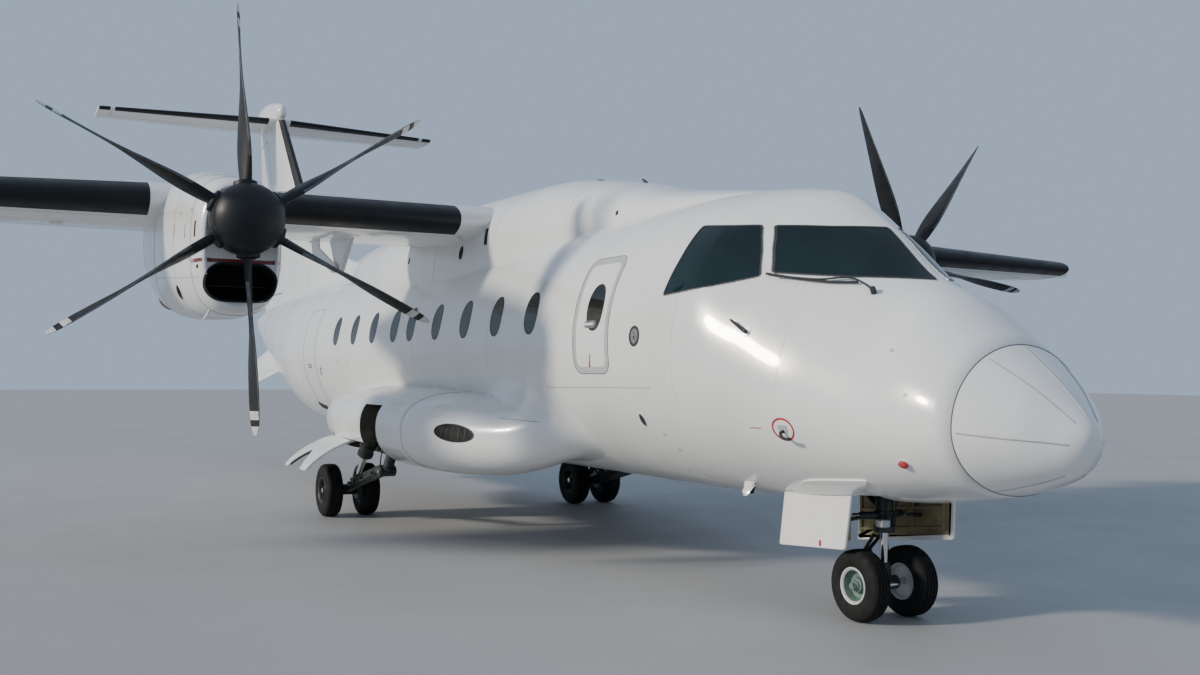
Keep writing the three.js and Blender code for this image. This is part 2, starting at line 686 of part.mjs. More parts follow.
// Fairing over the wing's middle. Columns: back, height of the side seam, half width there, top
const HUMP = [
  [2980, 3080, 260, 3120],
  [3700, 3040, 500, 3215],
  [4300, 3020, 570, 3300],
  [5500, 2925, 745, 3540],
  [6440, 2795, 885, 3645],
  [8110, 2700, 966, 3655],
  [9600, 2700, 966, 3610],
  [11200, 2790, 880, 3540],
  [12600, 2960, 640, 3470],
  [SPINE_START, 3110, 290, 3412],
];
const HUMP_BEND = 0.8;
const HUMP_SIDES = 10;
const HUMP_FOOT = 150;
const humpRing = ([back, seam, half, top]) => [
  ...Array.from({ length: HUMP_SIDES + 1 }, (_, i) => {
    const angle = (Math.PI * i) / HUMP_SIDES;
    const height = bent(Math.max(Math.sin(angle), 0), HUMP_BEND);
    return [x(back), half * bent(Math.cos(angle), HUMP_BEND), seam + (top - seam) * height];
  }),
  [x(back), -half * 0.9, seam - HUMP_FOOT],
  [x(back), half * 0.9, seam - HUMP_FOOT],
];
addNode('wing_fairing', cut(loft(HUMP.map(humpRing)), hullGrown, wingGrown), 'white');

// Nacelles. Columns: back, half width, top, bottom
const NACELLE = [
  [5830, 338, 3285, 2205],
  [5900, 352, 3312, 2188],
  [6080, 378, 3365, 2168],
  [6500, 430, 3440, 2158],
  [7080, 478, 3540, 2162],
  [7900, 462, 3570, 2256],
  [8700, 400, 3520, 2500],
  [9400, 310, 3440, 2800],
  [10000, 200, 3370, 2990],
  [10350, 80, 3330, 3120],
];
const NACELLE_SHAPE = { y: PROP_Y, bend: 0.72, sides: 16 };
const INTAKE = { ys: [3320, 3900], zs: [2260, 2590], radius: 150, depth: 420 };
const SHAFT = { r: 30, out: 75, depth: 60 };
const nacelleBody = loft(NACELLE.map((row) => roundRing(row, NACELLE_SHAPE)));
const nacelleGrown = loft(NACELLE.map(([back, half, top, bottom]) => (
  roundRing([back, half + SEAT_GAP, top + SEAT_GAP, bottom - SEAT_GAP], NACELLE_SHAPE)
)));
const nacelleFront = NACELLE[0][0];
const intake = plate(
  roundedOutline(INTAKE.ys, INTAKE.zs, INTAKE.radius),
  'x', x(nacelleFront + INTAKE.depth), x(nacelleFront - 50),
);
const shaft = rod(
  [x(nacelleFront + 50), PROP_Y, PROP_Z], [x(nacelleFront - SHAFT.out), PROP_Y, PROP_Z], SHAFT.r, 24,
);
addPair('nacelle', join(cut(nacelleBody, wingGrown, intake), shaft), 'white');

const EXHAUST = { from: [8250, 2600], to: [9380, 2500], r: 165, endR: 150, wall: 14, hollow: 350 };
const exhaustPipe = rod(
  [x(EXHAUST.from[0]), PROP_Y, EXHAUST.from[1]], [x(EXHAUST.to[0]), PROP_Y, EXHAUST.to[1]],
  EXHAUST.r, 14, EXHAUST.endR,
);
const exhaustHollow = rod(
  [x(EXHAUST.to[0] - EXHAUST.hollow), PROP_Y, EXHAUST.to[1] + 30],
  [x(EXHAUST.to[0] + 20), PROP_Y, EXHAUST.to[1] - 2],
  EXHAUST.endR - EXHAUST.wall, 14,
);
addPair('exhaust', cut(exhaustPipe, nacelleGrown, exhaustHollow), 'exhaust');

// Propellers, feathered. Columns: radius, chord, thickness, twist from the flight direction
const BLADE = [
  [250, 120, 84, -20],
  [430, 165, 66, -17],
  [720, 245, 48, -10],
  [1050, 310, 34, -4],
  [1400, 300, 22, 2],
  [1680, 240, 14, 7],
  [PROP_TIP_R, 150, 9, 10],
];
const BLADE_SECTION = [[-0.5, 0], [-0.25, 0.46], [0.2, 0.42], [0.5, 0], [0.2, -0.36], [-0.25, -0.4]];
const blade = loft(BLADE.map(([r, chord, thickness, twist]) => BLADE_SECTION.map(([u, v]) => {
  const [cos, sin] = [Math.cos(rad(twist)), Math.sin(rad(twist))];
  const [along, across] = [-u * chord, v * thickness];
  return [along * cos - across * sin, r, along * sin + across * cos];
})));

function turnedAboutX(solid, degrees) {
  const geometry = toGeometry(solid);
  geometry.rotateX(rad(degrees));
  return toSolid(geometry);
}

// The hub is the spinner's rear ring; the dome in front of it is a cap of its own.
const HUB = { front: 85, back: 150, rearR: 300 };
const hubRing = turned([
  [0, -HUB.back], [HUB.rearR, -HUB.back], [SPINNER_R, 0], [SPINNER_R - 3, HUB.front], [0, HUB.front],
], 'x', 24);
const hubBore = rod([-HUB.back - 10, 0, 0], [-HUB.back + SHAFT.depth, 0, 0], SHAFT.r + SEAT_GAP, 24);
const domeSteps = 4;
const dome = turned([
  [0, HUB.front + SEAT_GAP],
  ...Array.from({ length: domeSteps + 1 }, (_, i) => {
    const angle = (Math.PI / 2) * (i / domeSteps);
    const radius = i === domeSteps ? 0 : (SPINNER_R - 3) * Math.cos(angle);
    return [radius, HUB.front + SEAT_GAP + (SPINNER_R - 55) * Math.sin(angle)];
  }),
], 'x', 24);
for (const side of SIDES) {
  const blades = Array.from({ length: BLADE_COUNT }, (_, i) => (
    turnedAboutX(blade, BLADE_PHASE_DEG[side] + (360 * i) / BLADE_COUNT)
  ));
  const place = [x(PROP_BACK), side === 'left' ? PROP_Y : -PROP_Y, PROP_Z];
  addNode(`propeller_${side}`, cut(join(hubRing, ...blades), hubBore), 'propeller', place);
  addNode(`spinner_${side}`, dome, 'propeller', place);
}

// Main gear pods low on the fuselage. Columns: back, centre y, half width, top, bottom
const POD = [
  [4900, 1000, 50, 1130, 1010],
  [5080, 1060, 210, 1270, 880],
  [5450, 1110, 400, 1370, 780],
  [6000, 1160, 560, 1440, 715],
  [6900, 1200, 640, 1490, 690],
  [8000, 1200, 640, 1530, 690],
  [8900, 1170, 600, 1530, 700],
  [9900, 1120, 540, 1470, 730],
  [11200, 1000, 360, 1380, 810],
  [12200, 880, 100, 1250, 1040],
];
const pod = loft(POD.map(([back, y, half, top, bottom]) => (
  roundRing([back, half, top, bottom], { y, bend: 0.85, sides: 16 })
)));
const WHEEL_BAY = { backs: [7650, 10050], ys: [1180, 1612], roof: 1100 };
const LEG_BAY = { backs: [7650, 8750], roof: 1300 };
const BAY_MOUTH = { backs: [7650, 8220], roof: 1340 };
const POD_SKIRT = 920;
const bayCut = join(
  block([x(WHEEL_BAY.backs[0]), x(WHEEL_BAY.backs[1])], WHEEL_BAY.ys, [400, WHEEL_BAY.roof]),
  block([x(LEG_BAY.backs[0]), x(LEG_BAY.backs[1])], WHEEL_BAY.ys, [400, LEG_BAY.roof]),
  block([x(BAY_MOUTH.backs[0]), x(BAY_MOUTH.backs[1])], [WHEEL_BAY.ys[0], 2200], [400, BAY_MOUTH.roof]),
  block([x(WHEEL_BAY.backs[0]), x(WHEEL_BAY.backs[1])], [WHEEL_BAY.ys[0], 2200], [400, POD_SKIRT]),
);
addPair('gear_pod', cut(pod, hullGrown, bayCut), 'white');

// Main legs: a forward post, a trailing arm and a shock strut
const AXLE_R = 30;
const axle = { back: MAIN_GEAR_BACK, y: MAIN_GEAR_Y, z: MAIN_TYRE_R };
const LEG = {
  post: [[7900, 1440, 1250], [8010, 1590, 620]],
  strut: [[8560, 1490, 1250], [9060, 1605, 440]],
  brace: [[8010, 1470, 1180], [8520, 1490, 1180]],
};
const legPoint = ([back, y, z]) => [x(back), y, z];
const armEnd = [axle.back, axle.y, axle.z];
const trunnion = (back, y) => (
  block([x(back - 90), x(back + 90)], [y - 80, y + 80], [1150, LEG_BAY.roof - SEAT_GAP])
);
addPair('main_leg', join(
  trunnion(7900, 1440), trunnion(8560, 1480),
  rod(...LEG.post.map(legPoint), 75, 10, 62),
  rod(legPoint(LEG.post[1]), legPoint(armEnd), 66, 8, 58),
  rod(...LEG.strut.map(legPoint), 62, 10, 45),
  rod(...LEG.brace.map(legPoint), 34, 8),
  rod([x(axle.back), axle.y - 95, axle.z], [x(axle.back), axle.y + 95, axle.z], 62, 12),
  rod([x(axle.back), axle.y - 305, axle.z], [x(axle.back), axle.y + 305, axle.z], AXLE_R, PIN_SIDES),
), 'gear');

// Wheels: tyre and rim turned in one. Profile of [radius, distance from the middle]
function wheel({ tyreR, half, rimR, boreR }) {
  const side = (sign) => [
    [boreR, sign * (half - 38)], [rimR * 0.9, sign * (half - 38)], [rimR, sign * (half - 12)],
    [tyreR * 0.8, sign * half], [tyreR, sign * half * 0.5],
  ];
  const outline = [...side(-1), ...side(1).reverse(), [boreR, -(half - 38)]];
  return turned(outline, 'y', 24);
}
const mainWheel = wheel({ tyreR: MAIN_TYRE_R, half: 98, rimR: 150, boreR: AXLE_R + SEAT_GAP });
const noseWheel = wheel({ tyreR: NOSE_TYRE_R, half: 80, rimR: 122, boreR: 22 + SEAT_GAP });
const MAIN_WHEELS = { inner: -MAIN_TYRE_OFFSET, outer: MAIN_TYRE_OFFSET };
for (const side of SIDES) {
  const sign = side === 'left' ? 1 : -1;
  for (const [name, offset] of Object.entries(MAIN_WHEELS)) {
    const place = [x(MAIN_GEAR_BACK), sign * (MAIN_GEAR_Y + offset), MAIN_TYRE_R];
    addNode(`main_wheel_${name}_${side}`, mainWheel, 'tyre', place);
  }
  addNode(`nose_wheel_${side}`, noseWheel, 'tyre', [x(NOSE_GEAR_BACK), sign * NOSE_TYRE_Y, NOSE_TYRE_R]);
}

// Main gear doors: curved plates that stand out over the wheels. Points of y and z from the root
const GEAR_DOOR = { backs: [8900, 9850], thick: 26 };
const GEAR_DOOR_ARC = [
  [1180.3, 880], [1400, 912], [1660, 919.5], [1870, 850], [2060, 745], [2200, 630], [2270, 540],
];
const arcOutline = [
  ...GEAR_DOOR_ARC,
  ...GEAR_DOOR_ARC.slice().reverse().map(([y, z]) => [y, z - GEAR_DOOR.thick]),
];
addPair('main_gear_door', plate(arcOutline, 'x', x(GEAR_DOOR.backs[1]), x(GEAR_DOOR.backs[0])), 'white');

// Nose leg, with the part that steers below it
const NOSE_LEG = { x: x(NOSE_GEAR_BACK), r: 62, bottom: 600, boreR: 30 };
const steeringBore = rod([NOSE_LEG.x, 0, 500], [NOSE_LEG.x, 0, 800], NOSE_LEG.boreR + SEAT_GAP, 24);
addNode('nose_leg', cut(join(
  rod([NOSE_LEG.x, 0, NOSE_LEG.bottom], [NOSE_LEG.x, 0, NOSE_BAY.roof - SEAT_GAP], NOSE_LEG.r, 20),
  rod([NOSE_LEG.x - 30, 0, 760], [x(2500), 0, 1100], 28, 12),
  block([x(2580), x(2430)], [-70, 70], [1060, NOSE_BAY.roof - SEAT_GAP]),
), steeringBore), 'gear');
const fork = join(
  rod([NOSE_LEG.x, 0, NOSE_TYRE_R], [NOSE_LEG.x, 0, 780], NOSE_LEG.boreR, 24),
  rod([NOSE_LEG.x, -110, NOSE_TYRE_R], [NOSE_LEG.x, 110, NOSE_TYRE_R], 48, 16),
  rod([NOSE_LEG.x, -300, NOSE_TYRE_R], [NOSE_LEG.x, 300, NOSE_TYRE_R], 22, PIN_SIDES),
  block([NOSE_LEG.x + 30, NOSE_LEG.x + 96], [-35, 35], [NOSE_TYRE_R - 30, NOSE_TYRE_R + 30]),
);
addNode('nose_fork', fork, 'gear');

// Nose gear doors hang on both sides of the bay. Outline of back and height
const NOSE_DOOR = {
  right: { y: -345, outline: [[1860, 960], [2603, 900], [2675, 445], [1942, 499]] },
  left: { y: 345, outline: [[1640, 980], [2610, 900], [2650, 440], [1650, 562]] },
};
const NOSE_DOOR_THICK = 22;
for (const side of SIDES) {
  const { y, outline } = NOSE_DOOR[side];
  const door = plate(sideOutline(outline), 'y', y - NOSE_DOOR_THICK / 2, y + NOSE_DOOR_THICK / 2);
  addNode(`nose_gear_door_${side}`, cut(door, hullGrown), 'white');
}

// Ventral strakes below the tail. Four corners: root front, root rear, tip rear, tip front
const STRAKE = {
  corners: [[16980, 520, 1720], [18680, 360, 2120], [18750, 760, 1760], [17900, 760, 1480]],
  thick: 22,
};
const strakeRing = (off) => STRAKE.corners.map(([back, y, z]) => [x(back), y + off, z + off]);
const strake = loft([strakeRing(-STRAKE.thick / 3), strakeRing(STRAKE.thick / 3)]);
addPair('strake', cut(strake, hullGrown), 'white');

export default aircraft;
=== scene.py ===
import math

import bmesh
import bpy
import numpy as np
from mathutils import Matrix, Vector
from mathutils.bvhtree import BVHTree
from mathutils.interpolate import poly_3d_calc


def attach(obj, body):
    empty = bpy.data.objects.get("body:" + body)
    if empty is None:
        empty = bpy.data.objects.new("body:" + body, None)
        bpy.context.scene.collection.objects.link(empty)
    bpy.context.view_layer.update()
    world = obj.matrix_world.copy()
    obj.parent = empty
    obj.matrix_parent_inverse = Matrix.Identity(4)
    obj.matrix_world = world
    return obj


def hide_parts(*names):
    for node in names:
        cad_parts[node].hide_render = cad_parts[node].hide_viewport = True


# Looks of the turboprop airliner. Tables are in millimetres, meshes in metres. "back" is the
# distance behind a datum plane ahead of the nose. side is 1 for port and -1 for starboard.

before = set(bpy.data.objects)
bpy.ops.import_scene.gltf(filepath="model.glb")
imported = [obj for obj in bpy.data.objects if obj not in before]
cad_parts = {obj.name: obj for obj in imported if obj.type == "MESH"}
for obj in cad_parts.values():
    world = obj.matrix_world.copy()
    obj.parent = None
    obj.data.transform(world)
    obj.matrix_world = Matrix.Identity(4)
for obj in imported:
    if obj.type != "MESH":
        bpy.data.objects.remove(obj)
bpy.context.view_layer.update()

MM = 0.001
NOSE_BACK = 200
LENGTH = 21280
DATUM_X = LENGTH / 2 + NOSE_BACK
SIDES = {"left": 1, "right": -1}
VIEW_OF = {1: "port", -1: "starboard"}
SMOOTH_DEG = 32
MERGE_DISTANCE = 2e-6
OUTLINE_STEP = 0.06


def at(back, y, z):
    """A point in metres, from its distance back, y and height in millimetres."""
    return np.stack(np.broadcast_arrays(DATUM_X - np.asarray(back, float), y, z), axis=-1) * MM


def side_point(back, z):
    """A point of back and height in millimetres, as a point of a side view in metres."""
    return (DATUM_X - back) * MM, z * MM


def side_view(points):
    return [side_point(back, z) for back, z in points]


# Curves

def cubic(knots, values, slopes, where):
    """A curve through the values at the knots, with the slope that each of them has."""
    i = np.clip(np.searchsorted(knots, where) - 1, 0, len(knots) - 2)
    step = knots[i + 1] - knots[i]
    t = (where - knots[i]) / step
    if values.ndim > 1:
        step, t = step[:, None], t[:, None]
    return ((2 * t**3 - 3 * t**2 + 1) * values[i] + (t**3 - 2 * t**2 + t) * step * slopes[i]
            + (3 * t**2 - 2 * t**3) * values[i + 1] + (t**3 - t**2) * step * slopes[i + 1])


def smooth_column(knots, values, where):
    """A curve through the values that never swings past them."""
    rise = np.diff(values) / np.diff(knots)
    before, after = rise[:-1], rise[1:]
    same_way = before * after > 0
    middle = np.where(same_way, 2 * before * after / np.where(same_way, before + after, 1), 0)
    return cubic(knots, values, np.concatenate([rise[:1], middle, rise[-1:]]), np.asarray(where, float))


def smooth_columns(table, where):
    """The columns of a table at some places of its first one, each upright."""
    table = np.asarray(table, float)
    return [smooth_column(table[:, 0], column, where)[:, None] for column in table.T[1:]]


def filled(marks, most):
    """The marks, with steps between them that are no longer than most."""
    steps = [marks[0]]
    for start, end in zip(marks, marks[1:]):
        steps += list(np.linspace(start, end, max(1, math.ceil((end - start) / most)) + 1)[1:])
    return np.array(steps)


def reach_along(path):
    """The distance to each point along a path."""
    return np.concatenate([[0], np.cumsum(np.linalg.norm(np.diff(path, axis=0), axis=1))])


def spaced(path, pitch):
    """Points at an even pitch along a path."""
    path = np.asarray(path, float)
    reach = reach_along(path)
    where = np.linspace(0, reach[-1], max(2, round(reach[-1] / pitch) + 1))
    return np.column_stack([np.interp(where, reach, column) for column in path.T])


def slanted(start, end, share):
    """The point at a share of the way between two others."""
    return np.asarray(start) + (np.asarray(end) - np.asarray(start)) * share


def bent(value, power):
    return np.sign(value) * np.abs(value) ** power


def round_angles(count):
    return np.linspace(0, 2 * math.pi, count, endpoint=False)


# Flat outlines

def rounded_outline(low, high, radius, steps=8):
    """A rectangle with round corners, anticlockwise."""
    (u0, v0), (u1, v1) = low, high
    points = []
    for u, v, turn in ((u1, v1, 0), (u0, v1, 90), (u0, v0, 180), (u1, v0, 270)):
        centre = (u - radius * np.sign(u - (u0 + u1) / 2), v - radius * np.sign(v - (v0 + v1) / 2))
        for i in range(steps + 1):
            angle = math.radians(turn + 90 * i / steps)
            points.append((centre[0] + radius * math.cos(angle), centre[1] + radius * math.sin(angle)))
    return np.array(points)


def box_outline(centre, half_u, half_v, radius, steps=8):
    """A rounded rectangle round its centre."""
    u, v = centre
    return rounded_outline((u - half_u, v - half_v), (u + half_u, v + half_v), radius, steps)


def rounded_polygon(corners, radius, steps=6):
    corners = np.asarray(corners, float)
    t = np.linspace(0, 1, steps + 1)[:, None]
    points = []
    for before, corner, after in zip(np.roll(corners, 1, 0), corners, np.roll(corners, -1, 0)):
        start, end = (corner + (other - corner) / np.linalg.norm(other - corner) * radius
                      for other in (before, after))
        points += list((1 - t) ** 2 * start + 2 * t * (1 - t) * corner + t * t * end)
    return np.array(points)


def oval(centre, half_u, half_v, power=2.0, count=48):
    angle = round_angles(count)
    return np.column_stack([centre[0] + half_u * bent(np.cos(angle), 2 / power),
                            centre[1] + half_v * bent(np.sin(angle), 2 / power)])


def divided(outline, most):
    """The outline with points added, so that no edge is longer than most."""
    points = []
    for a, b in zip(outline, np.roll(outline, -1, axis=0)):
        count = max(1, math.ceil(np.linalg.norm(b - a) / most))
        points += [a + (b - a) * k / count for k in range(count)]
    return np.array(points)


def offset_outline(outline, by):
    """The outline moved outward by a distance."""
    outline = np.asarray(outline, float)
    u, v = outline.T
    area = np.sum(u * np.roll(v, -1) - np.roll(u, -1) * v)
    edges = [np.roll(outline, -1, axis=0) - outline, outline - np.roll(outline, 1, axis=0)]
    edges = [edge / np.maximum(np.linalg.norm(edge, axis=1), 1e-9)[:, None] for edge in edges]
    way = edges[0] + edges[1]
    way /= np.maximum(np.linalg.norm(way, axis=1), 1e-9)[:, None]
    stretch = 1 / np.maximum(np.sum(way * edges[0], axis=1), 0.5)
    out = np.column_stack([way[:, 1], -way[:, 0]]) * np.sign(area)
    return outline + by * out * stretch[:, None]


def shrunk(ring, scale):
    """A ring made smaller about its middle."""
    middle = ring.mean(axis=0)
    return middle + (ring - middle) * scale


# Solids: their points and faces

def skinned(rings, closed=False):
    """A skin over rings of equal count, capped at its ends or closed on itself."""
    rings = np.asarray(rings, float)
    rows, count = rings.shape[:2]
    faces = [[r * count + i, r * count + (i + 1) % count,
              (r + 1) % rows * count + (i + 1) % count, (r + 1) % rows * count + i]
             for r in range(rows if closed else rows - 1) for i in range(count)]
    if not closed:
        faces += [list(range(count))[::-1], [(rows - 1) * count + i for i in range(count)]]
    return rings.reshape(-1, 3), faces


def sided(solid, side):
    """A port solid on its own side, or mirrored to starboard."""
    points, faces = solid
    return np.asarray(points) * [1, side, 1], faces


def moved(solid, by):
    points, faces = solid
    return points + by, faces


def turned(profile, axis, centre, sides=48):
    """A profile of [radius, distance along the axis] turned about it. All in metres."""
    profile = np.asarray(profile, float)
    u, v = {"x": (1, 2), "y": (2, 0), "z": (0, 1)}[axis]
    rings = np.zeros((len(profile), sides, 3))
    rings[:, :, u] = profile[:, :1] * np.cos(round_angles(sides))
    rings[:, :, v] = profile[:, :1] * np.sin(round_angles(sides))
    rings[:, :, "xyz".index(axis)] = profile[:, 1:2]
    on_itself = np.allclose(profile[0], profile[-1])
    return moved(skinned(rings[:-1] if on_itself else rings, on_itself), np.asarray(centre, float))


def aimed(solid, start, end):
    """A solid that was made along z, turned to point from start to end."""
    points, faces = solid
    turn = np.array(Vector(np.subtract(end, start)).to_track_quat("Z", "Y").to_matrix())
    return points @ turn.T + np.array(start), faces


def rod(start, end, radius, sides=20, end_radius=None, bevel=0.002):
    """A round bar between two points, its end edges broken."""
    end_radius = radius if end_radius is None else end_radius
    length = np.linalg.norm(np.subtract(end, start))
    profile = [(radius - bevel, 0), (radius, bevel), (end_radius, length - bevel),
               (end_radius - bevel, length)]
    return aimed(turned(profile, "z", (0, 0, 0), sides), start, end)


def rings_along(path, radius, sides):
    path = np.asarray(path, float)
    tangent = np.gradient(path, axis=0)
    tangent /= np.linalg.norm(tangent, axis=1)[:, None]
    side = np.cross(tangent[0], [0.13, 0.31, 0.94])
    angle = round_angles(sides)[:, None]
    rings = []
    for point, ahead, r in zip(path, tangent, np.broadcast_to(radius, (len(path),))):
        side = side - ahead * (side @ ahead)
        side = side / np.linalg.norm(side)
        rings.append(point + r * (np.cos(angle) * side + np.sin(angle) * np.cross(ahead, side)))
    return rings


def pipe(points, radius, sides=10, steps=8):
    """A round tube along a smooth path through a few points."""
    points = np.asarray(points, float)
    reach = reach_along(points)
    where = np.linspace(0, reach[-1], steps * (len(points) - 1) + 1)
    path = cubic(reach, points, np.gradient(points, reach, axis=0), where)
    return skinned(rings_along(path, radius, sides))


def raised(flat, level, axis="z"):
    """An outline in the two other axes, at a level along the named one."""
    u, v, w = flat[:, 0], flat[:, 1], np.full(len(flat), level)
    return np.column_stack({"x": (w, u, v), "y": (u, w, v), "z": (u, v, w)}[axis])


def block(low, high, bevel=0.004):
    """A block between two corners, its edges broken."""
    low, high = np.minimum(low, high).astype(float), np.maximum(low, high).astype(float)
    bevel = min(bevel, 0.45 * float((high - low).min()))
    outline = rounded_outline(low[:2], high[:2], bevel, 2)
    inner = outline - np.sign(outline - (low[:2] + high[:2]) / 2) * bevel
    levels = [(inner, low[2]), (outline, low[2] + bevel), (outline, high[2] - bevel), (inner, high[2])]
    return skinned([raised(flat, z) for flat, z in levels])


def plate(outline, axis, start, end, bevel=0.0):
    """An outline in the two other axes, pushed along the named one, its edges broken."""
    low, high = sorted((start, end))
    inner = offset_outline(outline, -bevel)
    levels = [(inner, low), (outline, low + bevel), (outline, high - bevel), (inner, high)]
    return skinned([raised(flat, level, axis) for flat, level in (levels if bevel else levels[1:3])])


def sheet(top, bottom, keep):
    """A solid sheet between two grids of points, with only the kept cells."""
    rows, columns = top.shape[:2]
    count = rows * columns

    def kept(i, j):
        return 0 <= i < rows - 1 and 0 <= j < columns - 1 and keep[i][j]

    faces = []
    for i, j in ((i, j) for i in range(rows - 1) for j in range(columns - 1) if keep[i][j]):
        start = i * columns + j
        loop = [start, start + columns, start + columns + 1, start + 1]
        faces += [loop, [node + count for node in loop[::-1]]]
        beside = (kept(i, j - 1), kept(i + 1, j), kept(i, j + 1), kept(i - 1, j))
        for a, b, closed in zip(loop, loop[1:] + loop[:1], beside):
            if not closed:
                faces.append([a, a + count, b + count, b])
    return np.concatenate([top.reshape(-1, 3), bottom.reshape(-1, 3)]), faces


# Pieces

def placed(name, mesh):
    piece = bpy.data.objects.new(name, mesh)
    bpy.context.scene.collection.objects.link(piece)
    return piece


def dress(piece, body, slot, *nodes):
    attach(piece, body)
    if nodes:
        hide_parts(*nodes)


def kept_mesh(piece):
    """Makes a plain mesh of what the modifiers of a piece give."""
    mesh = bpy.data.meshes.new_from_object(piece.evaluated_get(bpy.context.evaluated_depsgraph_get()))
    piece.modifiers.clear()
    before, piece.data = piece.data, mesh
    bpy.data.meshes.remove(before)
    mesh.name = piece.name
    return mesh


class Shell:
    """Closed solids gathered into one mesh. A mark is the face's place in the list of materials."""

    def __init__(self):
        self.points, self.faces, self.marks, self.count = [], [], [], 0

    def add(self, solid, mark=0):
        points, faces = solid
        points = np.asarray(points, float).reshape(-1, 3)
        self.faces += [[int(i) + self.count for i in face] for face in faces]
        self.marks += mark if isinstance(mark, list) else [mark] * len(faces)
        self.points.append(points)
        self.count += len(points)
        return self

    def piece(self, name, materials, sharp=SMOOTH_DEG):
        mesh = bpy.data.meshes.new(name)
        mesh.from_pydata(np.concatenate(self.points).tolist(), [], self.faces)
        for item in materials:
            mesh.materials.append(item)
        mesh.polygons.foreach_set("material_index", self.marks)
        shape = bmesh.new()
        shape.from_mesh(mesh)
        bmesh.ops.remove_doubles(shape, verts=shape.verts, dist=MERGE_DISTANCE)
        bmesh.ops.recalc_face_normals(shape, faces=shape.faces)
        shape.to_mesh(mesh)
        shape.free()
        mesh.shade_smooth()
        mesh.set_sharp_from_angle(angle=math.radians(sharp))
        return placed(name, mesh)


class Skin:
    """The outer surface of a finished piece, on which panels, lines and fasteners are laid."""

    # Each view: where its rays start, and their way
    VIEWS = {
        "port": (lambda u, v: (u, 6.0, v), (0, -1, 0)),
        "starboard": (lambda u, v: (u, -6.0, v), (0, 1, 0)),
        "port_inside": (lambda u, v: (u, 2.0, v), (0, 1, 0)),
        "starboard_inside": (lambda u, v: (u, -2.0, v), (0, -1, 0)),
        "front": (lambda u, v: (12.0, u, v), (-1, 0, 0)),
        "top": (lambda u, v: (u, v, 9.0), (0, 0, -1)),
        "below": (lambda u, v: (u, v, -1.0), (0, 0, 1)),
    }

    def __init__(self, piece):
        mesh = piece.data
        self.points = [vertex.co.copy() for vertex in mesh.vertices]
        self.normals = [vertex.normal.copy() for vertex in mesh.vertices]
        self.faces = [tuple(face.vertices) for face in mesh.polygons]
        self.tree = BVHTree.FromPolygons(self.points, self.faces)

    def met(self, spot, _normal, index, _distance):
        """The spot of a hit, and the smooth normal there."""
        face = self.faces[index]
        weights = poly_3d_calc([self.points[i] for i in face], spot)
        normal = sum((weight * self.normals[i] for weight, i in zip(weights, face)), Vector())
        return np.array(spot), np.array(normal.normalized())

    def nearest(self, point):
        return self.met(*self.tree.find_nearest(Vector(point)))

    def above(self, point, out):
        """The spot nearest to a point, lifted off the surface."""
        spot, normal = self.nearest(point)
        return spot + normal * out

    def lay(self, flat, view):
        """Points and normals where points of a view, in metres, meet the surface."""
        start, way = self.VIEWS[view]
        spots = []
        for u, v in flat:
            hit = self.tree.ray_cast(Vector(start(u, v)), Vector(way))
            spots.append(self.nearest(start(u, v)) if hit[0] is None else self.met(*hit))
        return tuple(np.array(column) for column in zip(*spots))

    def lay_point(self, flat, view):
        spots, normals = self.lay([flat], view)
        return spots[0], normals[0]


def panel(skin, outline, view, out, depth, rows, crown=0.0):
    """A slab that follows a surface inside an outline, from out above it to depth below it."""
    outline = np.asarray(outline, float)
    count = len(outline)
    shares = np.arange(1, rows + 1) / rows
    flat = np.concatenate([[outline.mean(axis=0)], *[shrunk(outline, share) for share in shares]])
    spots, normals = skin.lay(flat, view)
    rise = out + crown * (1 - np.concatenate([[0], np.repeat(shares, count)]) ** 2)
    faces = []
    for start, flip in ((0, 1), (len(flat), -1)):
        for i in range(count):
            j = (i + 1) % count
            faces.append([start, start + 1 + i, start + 1 + j][::flip])
            for a in range(start + 1, start + 1 + (rows - 1) * count, count):
                faces.append([a + i, a + count + i, a + count + j, a + j][::flip])
    top = 1 + (rows - 1) * count
    bottom = top + len(flat)
    faces += [[top + i, bottom + i, bottom + (i + 1) % count, top + (i + 1) % count] for i in range(count)]
    return np.concatenate([spots + normals * rise[:, None], spots - normals * depth]), faces


def band(skin, outline, view, width, out, depth=0.002):
    """A raised strip round an outline on a surface."""
    loops = []
    for flat, levels in ((outline, (-depth, out)), (offset_outline(outline, width), (out, -depth))):
        spots, normals = skin.lay(flat, view)
        loops += [spots + normals * level for level in levels]
    return skinned(loops, closed=True)


def cut_with(piece, cuts):
    """Cuts closed solids out of a piece, each with a mark, and keeps its outer surface smooth."""
    before = Skin(piece)
    finishes = list(piece.data.materials)
    tools = [Shell().add(solid, mark).piece(f"{piece.name}_cut_{i}", finishes)
             for i, (solid, mark) in enumerate(cuts)]
    for tool in tools:
        modifier = piece.modifiers.new("cut", "BOOLEAN")
        modifier.operation = "DIFFERENCE"
        modifier.solver = "MANIFOLD"
        modifier.object = tool
    mesh = kept_mesh(piece)
    for tool in tools:
        bpy.data.meshes.remove(tool.data)
    mesh.shade_smooth()
    mesh.set_sharp_from_angle(angle=math.radians(SMOOTH_DEG))
    split = [(0.0, 0.0, 0.0)] * len(mesh.loops)
    found = {}
    for face in mesh.polygons:
        for loop in () if face.material_index else face.loop_indices:
            i = mesh.loops[loop].vertex_index
            if i not in found:
                found[i] = tuple(before.nearest(mesh.vertices[i].co)[1])
            split[loop] = found[i]
    mesh.normals_split_custom_set(split)


# Materials

